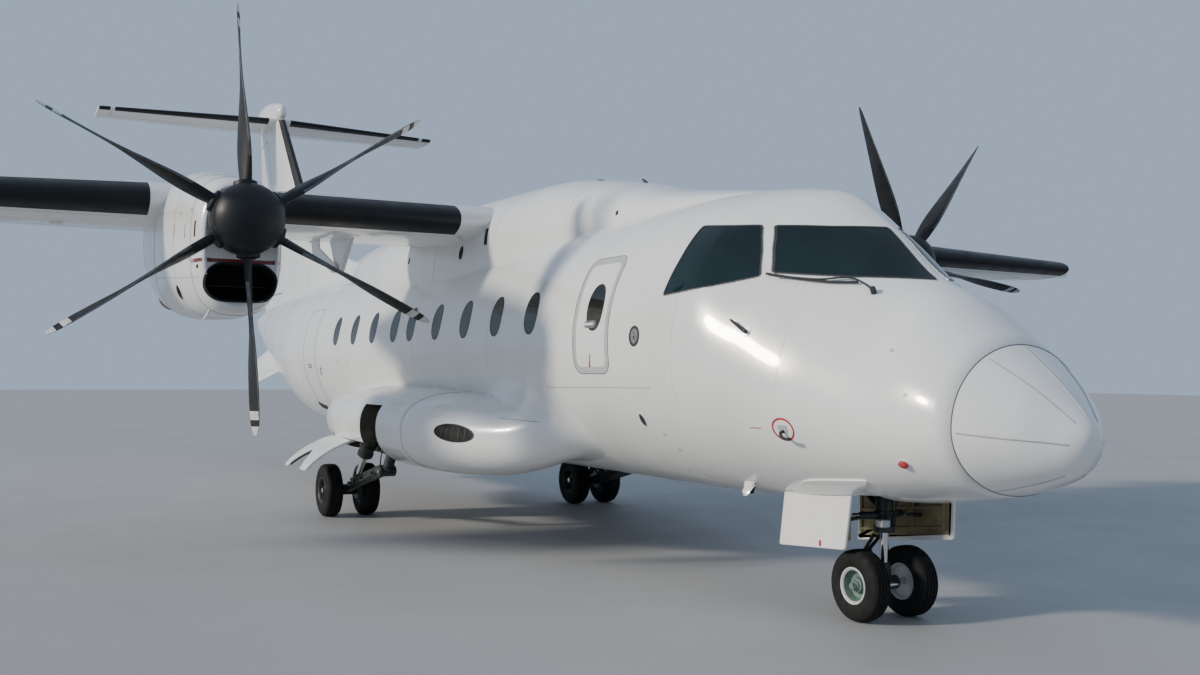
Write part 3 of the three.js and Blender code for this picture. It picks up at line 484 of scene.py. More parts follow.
def add_node(tree, kind, inputs=(), **settings):
    """A new node's outputs. Each of its inputs takes a value or the output of another node."""
    node = tree.nodes.new(kind)
    for key, value in settings.items():
        setattr(node, key, value)
    for key, value in dict(inputs).items():
        if isinstance(value, bpy.types.NodeSocket):
            tree.links.new(value, node.inputs[key])
        else:
            node.inputs[key].default_value = value
    return node.outputs


class Recipe:
    """A material's node tree, read in object coordinates."""

    def __init__(self, name, **values):
        self.item = bpy.data.materials.new(name)
        self.item.use_nodes = True
        self.tree = self.item.node_tree
        self.shader = self.tree.nodes["Principled BSDF"]
        self.place = self.node("TexCoord")["Object"]
        self.bumped = None
        for key, value in values.items():
            self.shader.inputs[key.replace("_", " ")].default_value = value

    def node(self, kind, inputs=(), **settings):
        return add_node(self.tree, "ShaderNode" + kind, inputs, **settings)

    def noise(self, scale, detail=4, stretch=(1, 1, 1)):
        place = self.node("Mapping", {"Vector": self.place, "Scale": stretch})["Vector"]
        inputs = {"Vector": place, "Scale": scale, "Detail": detail, "Roughness": 0.55}
        return self.node("TexNoise", inputs)["Fac"]

    def ramp(self, source, *stops):
        """Colours or values against a source. The two stops are (place, colour or value)."""
        node = self.tree.nodes.new("ShaderNodeValToRGB")
        for element, (spot, value) in zip(node.color_ramp.elements, stops):
            element.position = spot
            element.color = (*(value if isinstance(value, tuple) else (value,) * 3), 1)
        self.tree.links.new(source, node.inputs["Fac"])
        return node.outputs["Color"]

    def multiply(self, first, second):
        inputs = {"Factor": 1.0, "A": first, "B": second}
        return self.node("Mix", inputs, data_type="RGBA", blend_type="MULTIPLY")["Result"]

    def between(self, low, high, source):
        """0 where the source is at low and 1 where it is at high."""
        return self.node("MapRange", {"From Min": low, "From Max": high, "Value": source})["Result"]

    def along(self, axis):
        return self.node("SeparateXYZ", {"Vector": self.place})[axis]

    def bump(self, source, strength, distance):
        inputs = {"Strength": strength, "Distance": distance, "Height": source}
        if self.bumped is not None:
            inputs["Normal"] = self.bumped
        self.bumped = self.node("Bump", inputs)["Normal"]

    def done(self, colour, roughness=None):
        for label, source in (("Base Color", colour), ("Roughness", roughness), ("Normal", self.bumped)):
            if source is not None:
                self.tree.links.new(source, self.shader.inputs[label])
        return self.item


def gloss_paint(name, light, dark, joint_pitch=None):
    """Polished paint with faint patches, streaks, skin waves and lap joints."""
    recipe = Recipe(name, Coat_Weight=0.5, Coat_Roughness=0.06)
    patches = recipe.ramp(recipe.noise(0.7, 5), (0.3, dark), (0.62, light))
    streaks = recipe.ramp(recipe.noise(2.2, 6, (1, 1, 0.12)), (0.28, 0.955), (0.6, 1.0))
    tone = recipe.multiply(patches, streaks)
    if joint_pitch:
        wave = recipe.node("Math", {0: recipe.along("X"), 1: joint_pitch}, operation="PINGPONG")[0]
        lap = recipe.between(0.0035, 0.0, wave)
        tone = recipe.multiply(tone, recipe.ramp(lap, (0.0, 1.0), (1.0, 0.86)))
        recipe.bump(lap, 0.35, -0.002)
    recipe.bump(recipe.noise(2.6, 2), 0.05, 0.02)
    return recipe.done(tone, recipe.ramp(recipe.noise(1.6), (0.3, 0.17), (0.7, 0.29)))


def plain_finish(name, light, dark, rough, scale, bump=0.1, depth=0.002, **values):
    """Paint, rubber, plastic or metal with cloudy colour, roughness and grain."""
    recipe = Recipe(name, **values)
    recipe.bump(recipe.noise(scale * 9, 3), bump, depth)
    return recipe.done(recipe.ramp(recipe.noise(scale, 6), (0.3, dark), (0.7, light)),
                       recipe.ramp(recipe.noise(scale * 2.3), (0.3, rough[0]), (0.7, rough[1])))


def window_glass(name, low, high, upper, lower, variation):
    """Dark glazing with a painted reflection: its tone changes with height, as its reflections do, lighter
    low down.
    """
    recipe = Recipe(name, Roughness=0.05, Specular_IOR_Level=0.42)
    tone = recipe.ramp(recipe.between(low, high, recipe.along("Z")), (0.0, lower), (1.0, upper))
    cloud = recipe.ramp(recipe.noise(variation, 3), (0.35, 0.55), (0.65, 1.0))
    return recipe.done(recipe.multiply(tone, cloud))


# Columns: name, light and dark tone, least and most roughness, scale of the pattern, strength and
# depth of the grain
WHITE = gloss_paint("gloss_white_paint", (0.86, 0.86, 0.845), (0.80, 0.80, 0.785), 1.1)
WHITE_PARTS = gloss_paint("gloss_white_panels", (0.86, 0.86, 0.845), (0.79, 0.79, 0.775))
BOOT = plain_finish("black_boot_rubber", (0.012, 0.012, 0.013), (0.005, 0.005, 0.006), (0.34, 0.50), 3.0,
                    Specular_IOR_Level=0.32)
PROP_BLACK = plain_finish("matt_black_blade", (0.016, 0.017, 0.018), (0.007, 0.008, 0.009), (0.40, 0.58),
                          7.0, Specular_IOR_Level=0.35)
SPINNER_BLACK = plain_finish("matt_black_spinner", (0.013, 0.014, 0.015), (0.006, 0.007, 0.008),
                             (0.40, 0.56), 5.0, 0.15, Specular_IOR_Level=0.35)
BLADE_EDGE = plain_finish("worn_blade_edge", (0.16, 0.165, 0.17), (0.07, 0.072, 0.075), (0.28, 0.45), 12.0,
                          Metallic=0.7)
BLADE_WHITE = plain_finish("white_blade_band", (0.72, 0.72, 0.69), (0.56, 0.56, 0.53), (0.35, 0.5), 20.0)
# Both glazings carry a painted reflection: dark above and lighter below.
GLASS = window_glass("cockpit_glass_painted_reflection", 2.25, 2.85, (0.003, 0.010, 0.012), (0.010, 0.026, 0.029), 1.7)
CABIN_GLASS = window_glass("cabin_glass_painted_reflection", 2.12, 2.34, (0.008, 0.009, 0.009),
                           (0.060, 0.062, 0.056), 2.4)
SEAL = plain_finish("black_sealant", (0.035, 0.036, 0.036), (0.018, 0.018, 0.018), (0.5, 0.7), 30.0)
TYRE = plain_finish("tyre_rubber", (0.014, 0.0135, 0.013), (0.006, 0.006, 0.006), (0.70, 0.92), 9.0, 0.3,
                    0.003, Specular_IOR_Level=0.3)
RIM_WHITE = plain_finish("white_wheel_rim", (0.66, 0.67, 0.65), (0.46, 0.47, 0.45), (0.3, 0.5), 14.0)
RIM_GREEN = plain_finish("green_grey_hub", (0.17, 0.25, 0.22), (0.08, 0.12, 0.105), (0.35, 0.6), 16.0,
                         Metallic=0.25)
GEAR = plain_finish("dark_gear_paint", (0.050, 0.058, 0.055), (0.020, 0.024, 0.023), (0.35, 0.6), 11.0, 0.2,
                    Metallic=0.2)
STEEL = plain_finish("polished_oleo_steel", (0.72, 0.73, 0.74), (0.55, 0.56, 0.58), (0.10, 0.22), 6.0, 0.02,
                     Metallic=1.0)
EXHAUST = plain_finish("heat_stained_metal", (0.30, 0.25, 0.20), (0.10, 0.085, 0.075), (0.32, 0.55), 5.0,
                       0.15, Metallic=0.9)
# Nearly black: real soot inside the exhaust pipes, and painted shade on the intake walls and on the flat
# patches that stand for vents, slots and inlets.
SOOT_AND_SHADE = plain_finish("soot_and_painted_shade", (0.020, 0.018, 0.017), (0.007, 0.007, 0.007), (0.7, 0.95), 8.0)
BAY = plain_finish("bay_primer", (0.13, 0.125, 0.085), (0.045, 0.043, 0.030), (0.5, 0.75), 6.0, 0.2)
HOLD_TRIM = plain_finish("hold_lining", (0.46, 0.47, 0.45), (0.34, 0.35, 0.33), (0.5, 0.7), 4.0, 0.15)
DOOR_INSIDE = plain_finish("door_lining", (0.42, 0.43, 0.42), (0.30, 0.31, 0.30), (0.45, 0.65), 5.0, 0.15)
TREAD = plain_finish("dark_step_tread", (0.05, 0.05, 0.05), (0.02, 0.02, 0.02), (0.7, 0.9), 60.0, 0.5)
BARE_METAL = plain_finish("bare_brushed_metal", (0.52, 0.52, 0.50), (0.34, 0.34, 0.33), (0.25, 0.42), 18.0,
                          Metallic=0.9)
DOOR_GREY = plain_finish("light_grey_band", (0.50, 0.51, 0.51), (0.42, 0.43, 0.43), (0.3, 0.45), 8.0)
DOOR_PRIMER = plain_finish("door_primer", (0.30, 0.25, 0.13), (0.14, 0.115, 0.06), (0.5, 0.75), 6.0, 0.2)
MARK_RED = plain_finish("red_marking", (0.50, 0.045, 0.05), (0.36, 0.03, 0.04), (0.3, 0.45), 20.0)
MAROON = plain_finish("maroon_stripe", (0.20, 0.025, 0.03), (0.14, 0.018, 0.022), (0.25, 0.4), 10.0)
LINE_GREY = plain_finish("seam_shadow", (0.20, 0.20, 0.19), (0.12, 0.12, 0.115), (0.5, 0.7), 12.0)
FASTENER = plain_finish("painted_fastener", (0.62, 0.62, 0.60), (0.44, 0.44, 0.43), (0.3, 0.5), 40.0)
RED_LENS = plain_finish("red_lens", (0.45, 0.02, 0.015), (0.25, 0.01, 0.01), (0.05, 0.1), 20.0, 0.02)
CLEAR_LENS = plain_finish("clear_lamp_lens", (0.62, 0.66, 0.68), (0.42, 0.46, 0.48), (0.04, 0.09), 20.0,
                          0.02, Coat_Weight=0.6)

# Fuselage. Columns: back, keel height, crown height, half width, height of the widest point, and the
# fullness of the upper half of the section, where 2 is an ellipse
FUSELAGE = np.array([
    [NOSE_BACK, 1350, 1350, 0, 1350, 2],
    [300, 1132, 1517, 198, 1305, 2],
    [480, 1044, 1690, 405, 1347, 2],
    [780, 952, 1925, 607, 1386, 2],
    [1150, 889, 2206, 705, 1415, 1.91],
    [1420, 853, 2350, 750, 1443, 1.62],
    [1923, 824, 2768, 855, 1533, 1.54],
    [2400, 797, 3045, 995, 1657, 1.72],
    [2880, 772, 3122, 1130, 1810, 2],
    [3700, 753, 3178, 1205, 1940, 2],
    [4400, 752.5, 3180, 1212.5, 1965, 2],
    [12300, 752.5, 3180, 1212.5, 1965, 2],
    [14000, 800, 3180, 1175, 1995, 2],
    [15600, 1030, 3165, 1000, 2110, 2],
    [17600, 1510, 3090, 690, 2320, 2],
    [19600, 2130, 2960, 370, 2560, 2],
    [20920, 2520, 2800, 140, 2670, 2],
])
RADOME_BACK = 730
FUSELAGE_SIDES = 144


def fuselage_at(back):
    """Keel, crown, half width, height of the widest point and fullness at some distances back."""
    roots = np.sqrt(np.asarray(back, float) - NOSE_BACK)
    return [smooth_column(np.sqrt(FUSELAGE[:, 0] - NOSE_BACK), FUSELAGE[:, k], roots) for k in range(1, 6)]


def fuselage_rings(backs, grow=0.0, sides=FUSELAGE_SIDES):
    keel, crown, half, belt, fullness = [column[:, None] for column in fuselage_at(backs)]
    angle = round_angles(sides)
    upper = np.sin(angle) > 0
    rise = np.where(upper, crown - belt, belt - keel)
    power = np.where(upper, 2 / fullness, 1)
    across, height = bent(np.cos(angle), power), bent(np.sin(angle), power)
    return at(np.asarray(backs)[:, None], (half + grow) * across, belt + (rise + grow) * height)


def skin_y(back, z):
    keel, crown, half, belt, fullness = fuselage_at(back)
    upper = z > belt
    rise, power = np.where(upper, crown - belt, belt - keel), np.where(upper, fullness, 2)
    return half * np.clip(1 - (np.abs(z - belt) / rise) ** power, 0, 1) ** (1 / power)


# Doors. Columns: side, back range, height range, corner radius, panel thickness, gap, hinge height
DOORS = {
    "passenger_door": ("port", (3380, 4080), (1225, 2915), 120, 60, 8, 1203),
    "baggage_door": ("port", (12300, 13220), (1400, 2800), 90, 60, 8, 2822),
    "service_door": ("starboard", (3790, 4380), (1690, 2640), 110, 40, 3, None),
    "rear_exit": ("starboard", (12400, 13030), (1180, 2570), 90, 40, 3, None),
}
SWING_GAP = 20
HOLD_BACKS = (11900, 12300, 13400, 14400, 15400, 16600)
HOLD_WALL = 100
HOLD_FLOOR = 1150
DOORWAY_STOP = 40
DOORWAY_TOP_STOP = 5
NOSE_BAY = {"backs": (1640, 2640), "half": 320, "roof": 1150}
HINGE = {"knuckle": 22, "pin": 8, "stand": 16, "lug": 34, "reach": 70, "inset": 60, "run": 8}


def side_outline(backs, zs, radius, grow=0.0):
    """A rounded rectangle of back and height, as x and z in metres."""
    low, high = side_point(backs[1] + grow, zs[0] - grow), side_point(backs[0] - grow, zs[1] + grow)
    return divided(rounded_outline(low, high, (radius + grow) * MM), OUTLINE_STEP)


def hinge_line(name):
    backs, z = DOORS[name][1], DOORS[name][6]
    y = max(float(skin_y(back, z)) for back in backs) + HINGE["stand"]
    return backs[0] + HINGE["inset"], backs[1] - HINGE["inset"], y, z


def make_fuselage():
    backs = filled([RADOME_BACK, 1150, 2400, 4400, 12300, 14400, 20920], 110)
    inside = [DOOR_INSIDE, BAY, HOLD_TRIM]
    piece = Shell().add(skinned(fuselage_rings(backs))).piece("fuselage_skin", [WHITE, *inside])
    whole = Skin(piece)
    cuts = []
    for name, (view, door_backs, zs, radius, depth, gap, hinge_z) in DOORS.items():
        floor = depth + (SWING_GAP if hinge_z else 1)
        outline = side_outline(door_backs, zs, radius, gap)
        recess = panel(whole, outline, view, 0.05, floor * MM, 12)
        cuts.append((recess, 1))
        if hinge_z:
            start, end, y, z = hinge_line(name)
            deep = HINGE["reach"] + HINGE["run"]
            low = at(end + HINGE["run"], y - deep, z - 30)
            notch = block(low, at(start - HINGE["run"], y + 30, z + 30), 0.002)
            cuts.append((notch, 1))
    half, roof = NOSE_BAY["half"], NOSE_BAY["roof"]
    bay = block(at(NOSE_BAY["backs"][1], -half, 500), at(NOSE_BAY["backs"][0], half, roof), 0.002)
    cuts.append((bay, 2))
    rings = fuselage_rings(filled(HOLD_BACKS, 300), -HOLD_WALL, 72)
    rings[:, :, 2] = np.maximum(rings[:, :, 2], HOLD_FLOOR * MM)
    cuts.append((skinned(rings), 3))
    _, door_backs, zs, radius, *_ = DOORS["baggage_door"]
    way = side_outline((door_backs[0] + DOORWAY_STOP, door_backs[1] - DOORWAY_STOP),
                       (zs[0] + DOORWAY_STOP, zs[1] - DOORWAY_TOP_STOP), radius)
    cuts.append((plate(way, "y", 0.6, 1.25), 3))
    cut_with(piece, cuts)
    dress(piece, "airframe", "white", "fuselage")
    return whole


def make_radome():
    seam = RADOME_BACK - 3
    backs = NOSE_BACK + (seam - NOSE_BACK) * np.linspace(0.03, 1, 40) ** 2
    rings = fuselage_rings(backs)
    inner = fuselage_rings([seam + 0.5], -12)
    shell = Shell().add(skinned(np.concatenate([rings, inner])))
    piece = shell.piece("radome_shell", [WHITE_PARTS], 50)
    dress(piece, "airframe", "white", "radome")
    return Skin(piece)


def make_doors(whole):
    for name, (view, backs, zs, radius, depth, _, hinge_z) in DOORS.items():
        shell = Shell()
        points, faces = panel(whole, side_outline(backs, zs, radius), view, 0.0, depth * MM, 14)
        half = len(points) // 2
        marks = [1 if min(face) >= half else 0 for face in faces]
        shell.add((points, faces), marks)
        middle, low = (backs[0] + backs[1]) / 2, zs[0]
        handle_z = low + 0.42 * (zs[1] - zs[0])
        handle = side_outline((middle - 95, middle + 95), (handle_z - 28, handle_z + 28), 24)
        shell.add(panel(whole, handle, view, 0.0035, 0.004, 2), 2)
        grip = side_outline((middle - 70, middle + 70), (handle_z - 9, handle_z + 9), 8)
        shell.add(panel(whole, grip, view, 0.013, 0.004, 2))
        if hinge_z:
            start, end, y, z = hinge_line(name)
            shell.add(rod(at(start, y, z), at(end, y, z), HINGE["knuckle"] * MM, 28, bevel=0.003))
            inward = 1 if hinge_z < 2000 else -1
            tongue = [at(end, y - 40, z + inward * 4), at(start, y, z + inward * 30)]
            shell.add(block(*tongue, 0.003))
        if name == "passenger_door":
            for step in range(5):
                z = low + 250 + 290 * step
                deep = float(skin_y(middle, z)) - depth
                shell.add(block(at(middle + 250, deep - 14, z), at(middle - 250, deep + 20, z + 30)), 3)
        piece = shell.piece(name + "_panel", [WHITE_PARTS, DOOR_INSIDE, BARE_METAL, TREAD])
        body = name if hinge_z else "airframe"
        dress(piece, body, "white", name)
    lugs = Shell()
    for name in ("passenger_door", "baggage_door"):
        start, end, y, z = hinge_line(name)
        for near, out in ((start, -1), (end, 1)):
            face = near + out * HINGE["run"]
            far = face + out * HINGE["lug"]
            lugs.add(rod(at(face, y, z), at(far, y, z), HINGE["knuckle"] * MM, 28, bevel=0.003))
            lugs.add(block(at(face, y - 75, z - 20), at(far, y - 2, z + 20)))
            lugs.add(rod(at(near - out * 15, y, z), at(far, y, z), HINGE["pin"] * MM, 16, bevel=0.001))
    dress(lugs.piece("door_hinge_lugs", [WHITE_PARTS]), "airframe", "white")


# Windows
FRONT_PANE = [[561, 2764], [333, 2736], [42, 2719], [46, 2515], [52, 2322], [433, 2351], [721, 2402],
              [652, 2580]]
SIDE_PANE = [[3084, 2810], [2769, 2783], [2556, 2772], [2440, 2577], [2358, 2381], [2673, 2320], [3131, 2271],
             [3088, 2550]]
CABIN_WINDOW_BACKS = (5250, 6030, 6810, 7620, 8430, 9000, 9800, 10580, 11380)
DOOR_WINDOW_BACKS = {"port": 3730, "starboard": 4040}
WINDOW = {"z": 2225, "half_back": 128, "half_z": 188}


def make_cockpit_glass(whole):
    for side_name, side in SIDES.items():
        front = rounded_polygon([[side * y * MM, z * MM] for y, z in FRONT_PANE], 0.02)
        aside = rounded_polygon(side_view(SIDE_PANE), 0.03)
        for name, outline, way in (("windshield", front, "front"), ("side_window", aside, VIEW_OF[side])):
            outline = divided(outline, 0.05)
            pane = Shell().add(panel(whole, offset_outline(outline, -0.008), way, 0.002, 0.02, 10))
            piece = pane.piece(f"{name}_pane_{side_name}", [GLASS])
            dress(piece, "airframe", "glass", f"{name}_{side_name}")
            ring = Shell().add(band(whole, offset_outline(outline, -0.009), way, 0.010, 0.0042))
            ring.add(band(whole, offset_outline(outline, 0.001), way, 0.004, 0.003), 1)
            dress(ring.piece(f"{name}_frame_{side_name}", [SEAL, BARE_METAL]), "airframe", "boot")


def make_cabin_windows(whole):
    cabin = Shell(), Shell()
    in_doors = {view: (Shell(), Shell()) for view in DOOR_WINDOW_BACKS}
    half_u, half_v = WINDOW["half_back"] * MM, WINDOW["half_z"] * MM
    for view, door_back in DOOR_WINDOW_BACKS.items():
        for back in (*CABIN_WINDOW_BACKS, door_back):
            outline = oval(side_point(back, WINDOW["z"]), half_u, half_v, 2.25)
            panes, rims = in_doors[view] if back == door_back else cabin
            panes.add(panel(whole, outline, view, 0.0012, 0.006, 4))
            rims.add(band(whole, offset_outline(outline, -0.004), view, 0.007, 0.0022))
    sets = [("cabin_window_panes", "cabin_window_seals", "airframe", cabin),
            ("passenger_door_window", "passenger_door_window_seal", "passenger_door", in_doors["port"]),
            ("service_door_window", "service_door_window_seal", "airframe", in_doors["starboard"])]
    for pane_name, seal_name, body, (panes, rims) in sets:
        dress(panes.piece(pane_name, [CABIN_GLASS]), body, "glass")
        dress(rims.piece(seal_name, [SEAL]), body, "boot")


# Wing, tailplane and fin. Columns: span, back of the leading edge, chord, height of it, thickness,
# camber, droop
WING = [
    [0, 7030, 2350, 3270, 0.175, 0.018, 0.026],
    [4150, 7030, 2350, 3270, 0.175, 0.018, 0.026],
    [8250, 7340, 1750, 3215, 0.15, 0.018, 0.02],
    [9300, 8300, 900, 3260, 0.125, 0.012, 0.012],
    [10490, 9300, 80, 3310, 0.1, 0, 0],
]
TAILPLANE = [
    [0, 19700, 1480, 6720, 0.115, 0, 0.03],
    [3350, 20100, 830, 6710, 0.105, 0, 0.06],
]
FIN = [
    [2900, 15650, 5000, 0, 0.05, 0, 0],
    [4100, 16830, 4070, 0, 0.06, 0, 0],
    [6800, 19550, 1870, 0, 0.1, 0, 0],
]
EDGE_THICKNESS = 0.006
RUN_GAP = 8
AILERON = {"spans": (6560, 8200), "hinge": 0.74}
ELEVATOR = {"spans": (230, 3350), "hinge": 0.62, "horn": 3110}
RUDDER = {"spans": (3210, 6368), "hinge": 0.63, "gaps": (30, 40)}
FLAPS = {"flap_inner": ((1080, 2880), (2100,)), "flap_outer": ((4380, 6510), (5440, 6340))}
FLAP_FRONT = 0.72
FLAP_FRONT_GAP = 14
FLAP_NOSE = 70
FLAP_PIVOT = (8120, 2785)
WING_BOOTS = {"wing_boot_inner": (1150, 3000), "wing_boot_outer": (4180, 8240)}
BOOT_PROUD = 1.5
BRACKET = [[7600, 3180], [8480, 3180], [8215, 2790], [8175, 2745], [8065, 2745], [8020, 2790]]
BRACKET_HALF = 32
ARM_WIDTH = 26
ARM = [[-45, -20], [-12, -45], [60, -40], [880, 205], [960, 415], [680, 415], [650, 285], [0, 45], [-40, 28]]


class Surface:
    """A lifting surface with one thin profile, from a table of its sections."""

    def __init__(self, table, cuts=(), upright=False, count=26):
        self.table, self.upright = np.array(table, float), upright
        stations = np.linspace(0, 1, count) ** 1.8
        clear = [a for a in stations if all(abs(a - cut) > 0.02 for cut in cuts)]
        self.stations = np.array(sorted([*clear, *cuts]))

    def row(self, span):
        return [np.interp(span, self.table[:, 0], column) for column in self.table.T]

    def mean(self, row, along):
        _, lead, chord, height, _, camber, droop = row
        return lead + along * chord, height + chord * (4 * camber * along * (1 - along) - droop * along)

    def half(self, row, along):
        chord, thickness = row[2], row[4]
        shape = (0.2969 * np.sqrt(along) - 0.126 * along - 0.3516 * along**2 + 0.2843 * along**3
                 - 0.1036 * along**4)
        return chord * (5 * thickness * shape + 0.5 * EDGE_THICKNESS * along)

    def point(self, span, along, up=0.0):
        """A point on the upper (1), middle (0) or lower (-1) surface."""
        row = self.row(span)
        back, height = self.mean(row, along)
        off = up * self.half(row, along)
        return at(back, off, span) if self.upright else at(back, span, height + off)

    def ring(self, span, front=None, rear=None, grow=0.0):
        """One section, anticlockwise from the trailing edge. Front and rear say how it is cut there.

        Each cut is its kind, the fraction of the chord and a size: a round nose of some reach, a
        hollow cove round a hinge line with some gap, or a wall that bows inward."""
        row = self.row(span)
        rows = []
        for way in (1, -1):
            back, height = self.mean(row, self.stations)
            off = self.half(row, self.stations) + grow
            off[0] = 0
            back = back - grow * (self.stations < 1e-6)
            if rear:
                kind, cut, size = rear
                kept = self.stations <= cut - (0.04 if kind == "cove" else 1e-6)
                late = np.linspace(0, 1, int((~kept).sum()))
                middle, level = self.mean(row, cut)
                thick = self.half(row, cut)
                if kind == "cove":
                    angle = math.asin(thick / (thick + size)) * (1 - late)
                    back[~kept] = middle - (thick + size) * np.cos(angle)
                    off[~kept] = (thick + size) * np.sin(angle)
                else:
                    back[~kept] = middle - size * (1 - (1 - late) ** 2)
                    off[~kept] = (thick + grow) * (1 - late)
                height[~kept] = level
            if front:
                _, cut, reach = front
                gone = self.stations < cut - 1e-6
                count = int(gone.sum())
                early = (count - np.arange(count)) / count
                middle, level = self.mean(row, cut)
                thick = self.half(row, cut)
                angle = (math.pi / 2) * (1 - early)
                back[gone] = middle - (thick if reach is None else reach) * np.cos(angle)
                off[gone] = thick * np.sin(angle)
                height[gone] = level
            rows.append((back, height, way * off))
        back = np.concatenate([rows[0][0][::-1], rows[1][0][1:]])
        height = np.concatenate([rows[0][1][::-1], rows[1][1][1:]])
        off = np.concatenate([rows[0][2][::-1], rows[1][2][1:]])
        return at(back, off, span) if self.upright else at(back, span, height + off)

    def solid(self, segments, both=False, most=320, grow=0.0):
        """Segments are (first span, last span, front cut, rear cut), one after the other."""
        rings = []
        for start, end, front, rear in segments:
            knots = [start, *[s for s in self.table[:, 0] if start < s < end], end]
            rings += [self.ring(span, front, rear, grow) for span in filled(knots, most)]
        if both:
            rings = [ring * [1, -1, 1] for ring in rings[::-1]] + rings[1:]
        return skinned(rings)


wing = Surface(WING, (0.085, FLAP_FRONT, AILERON["hinge"]))
tailplane = Surface(TAILPLANE, (0.1, ELEVATOR["hinge"]))
fin = Surface(FIN, (0.07, RUDDER["hinge"]), upright=True)


def grown(spans, by=RUN_GAP):
    return spans[0] - by, spans[1] + by


def make_wing():
    wall, cove = ("wall", FLAP_FRONT, 30), ("cove", AILERON["hinge"], RUN_GAP)
    inner, outer = (grown(FLAPS[name][0]) for name in ("flap_inner", "flap_outer"))
    aileron = grown(AILERON["spans"])
    segments = [
        (0, inner[0], None, None), (*inner, None, wall), (inner[1], outer[0], None, None),
        (*outer, None, wall), (outer[1], aileron[0], None, None), (*aileron, None, cove),
        (aileron[1], WING[-1][0] - 30, None, None),
    ]
    shell = Shell().add(wing.solid(segments, both=True))
    tip = Surface([[0, *WING[-1][1:]], [1, *WING[-1][1:]]]).ring(0)
    bracket = rounded_polygon(side_view(BRACKET), 0.025)
    back, height = FLAP_PIVOT
    for side in SIDES.values():
        tip_rings = []
        for along, scale in ((-30, 1), (-12, 0.95), (-4, 0.8), (0, 0.5)):
            ring = shrunk(tip, scale)
            ring[:, 1] = side * (WING[-1][0] + along) * MM
            tip_rings.append(ring)
        shell.add(skinned(tip_rings))
        for span in (span for _, bracket_spans in FLAPS.values() for span in bracket_spans):
            inboard, outboard = side * (span - BRACKET_HALF), side * (span + BRACKET_HALF)
            shell.add(plate(bracket, "y", inboard * MM, outboard * MM, 0.012))
            end = outboard + side * (ARM_WIDTH + 2 * RUN_GAP)
            shell.add(rod(at(back, inboard - side * 6, height), at(back, end, height), 0.008, 16,
                          bevel=0.001), 1)
        shell.add(block(at(7960, side * 4840, 3062), at(7840, side * 4960, 3200), 0.008))
    piece = shell.piece("wing_skin", [WHITE_PARTS, BARE_METAL])
    dress(piece, "airframe", "white", "wing")
    return Skin(piece)


def make_boots():
    for name, spans in WING_BOOTS.items():
        segments = [(*spans, None, ("wall", 0.085, 0))]
        for side_name, side in SIDES.items():
            strip = Shell().add(sided(wing.solid(segments, grow=BOOT_PROUD, most=160), side))
            for span in np.arange(spans[0] + 300, spans[1] - 100, 560):
                ring = [wing.point(span, along, 1) for along in np.linspace(0.083, 0, 12)]
                ring += [wing.point(span, along, -1) for along in np.linspace(0.004, 0.083, 12)]
                strip.add(skinned(rings_along(np.array(ring) * [1, side, 1], 0.0022, 6)))
            piece = strip.piece(f"{name}_rubber_{side_name}", [BOOT])
            dress(piece, "airframe", "boot", f"{name}_{side_name}")
    for side_name, side in SIDES.items():
        solid = tailplane.solid([(215, 3060, None, ("wall", 0.1, 0))], grow=BOOT_PROUD, most=160)
        piece = Shell().add(sided(solid, side)).piece(f"tailplane_boot_rubber_{side_name}", [BOOT])
        dress(piece, "airframe", "boot", f"tailplane_boot_{side_name}")
    solid = fin.solid([(4000, 6690, None, ("wall", 0.07, 0))], grow=BOOT_PROUD, most=160)
    dress(Shell().add(solid).piece("fin_boot_rubber", [BOOT]), "airframe", "boot", "fin_boot")


def make_flaps():
    back, height = FLAP_PIVOT
    arm = rounded_polygon(side_view([(back + b, height + z) for b, z in ARM]), 0.018)
    for name, (spans, bracket_spans) in FLAPS.items():
        for side_name, side in SIDES.items():
            nose_cut = FLAP_FRONT + (FLAP_FRONT_GAP + FLAP_NOSE) / wing.row(sum(spans) / 2)[2]
            solid = Surface(WING, (nose_cut,)).solid([(*spans, ("nose", nose_cut, FLAP_NOSE), None)])
            shell = Shell().add(sided(solid, side))
            for span in bracket_spans:
                near = side * (span + BRACKET_HALF + RUN_GAP)
                far = near + side * ARM_WIDTH
                shell.add(plate(arm, "y", near * MM, far * MM, 0.004))
                shell.add(rod(at(back, near - side * 2, height), at(back, far + side * 2, height),
                              0.034, 24), 1)
            piece = shell.piece(f"{name}_panel_{side_name}", [WHITE_PARTS, BARE_METAL])
            dress(piece, f"{name}_{side_name}", "white", f"{name}_{side_name}")


def make_wick(shell, surface, span, side, length=150):
    """A thin static wick behind the trailing edge."""
    start = surface.point(span, 0.985)
    end = start + np.array([-length * MM, 0, -0.012])
    if not surface.upright:
        start, end = start * [1, side, 1], end * [1, side, 1]
    shell.add(rod(start, end, 0.0035, 8, 0.0015, 0.0005), 1)
    shell.add(rod(start + [0.03, 0, 0], start - [0.03, 0, 0], 0.006, 8, bevel=0.001), 1)


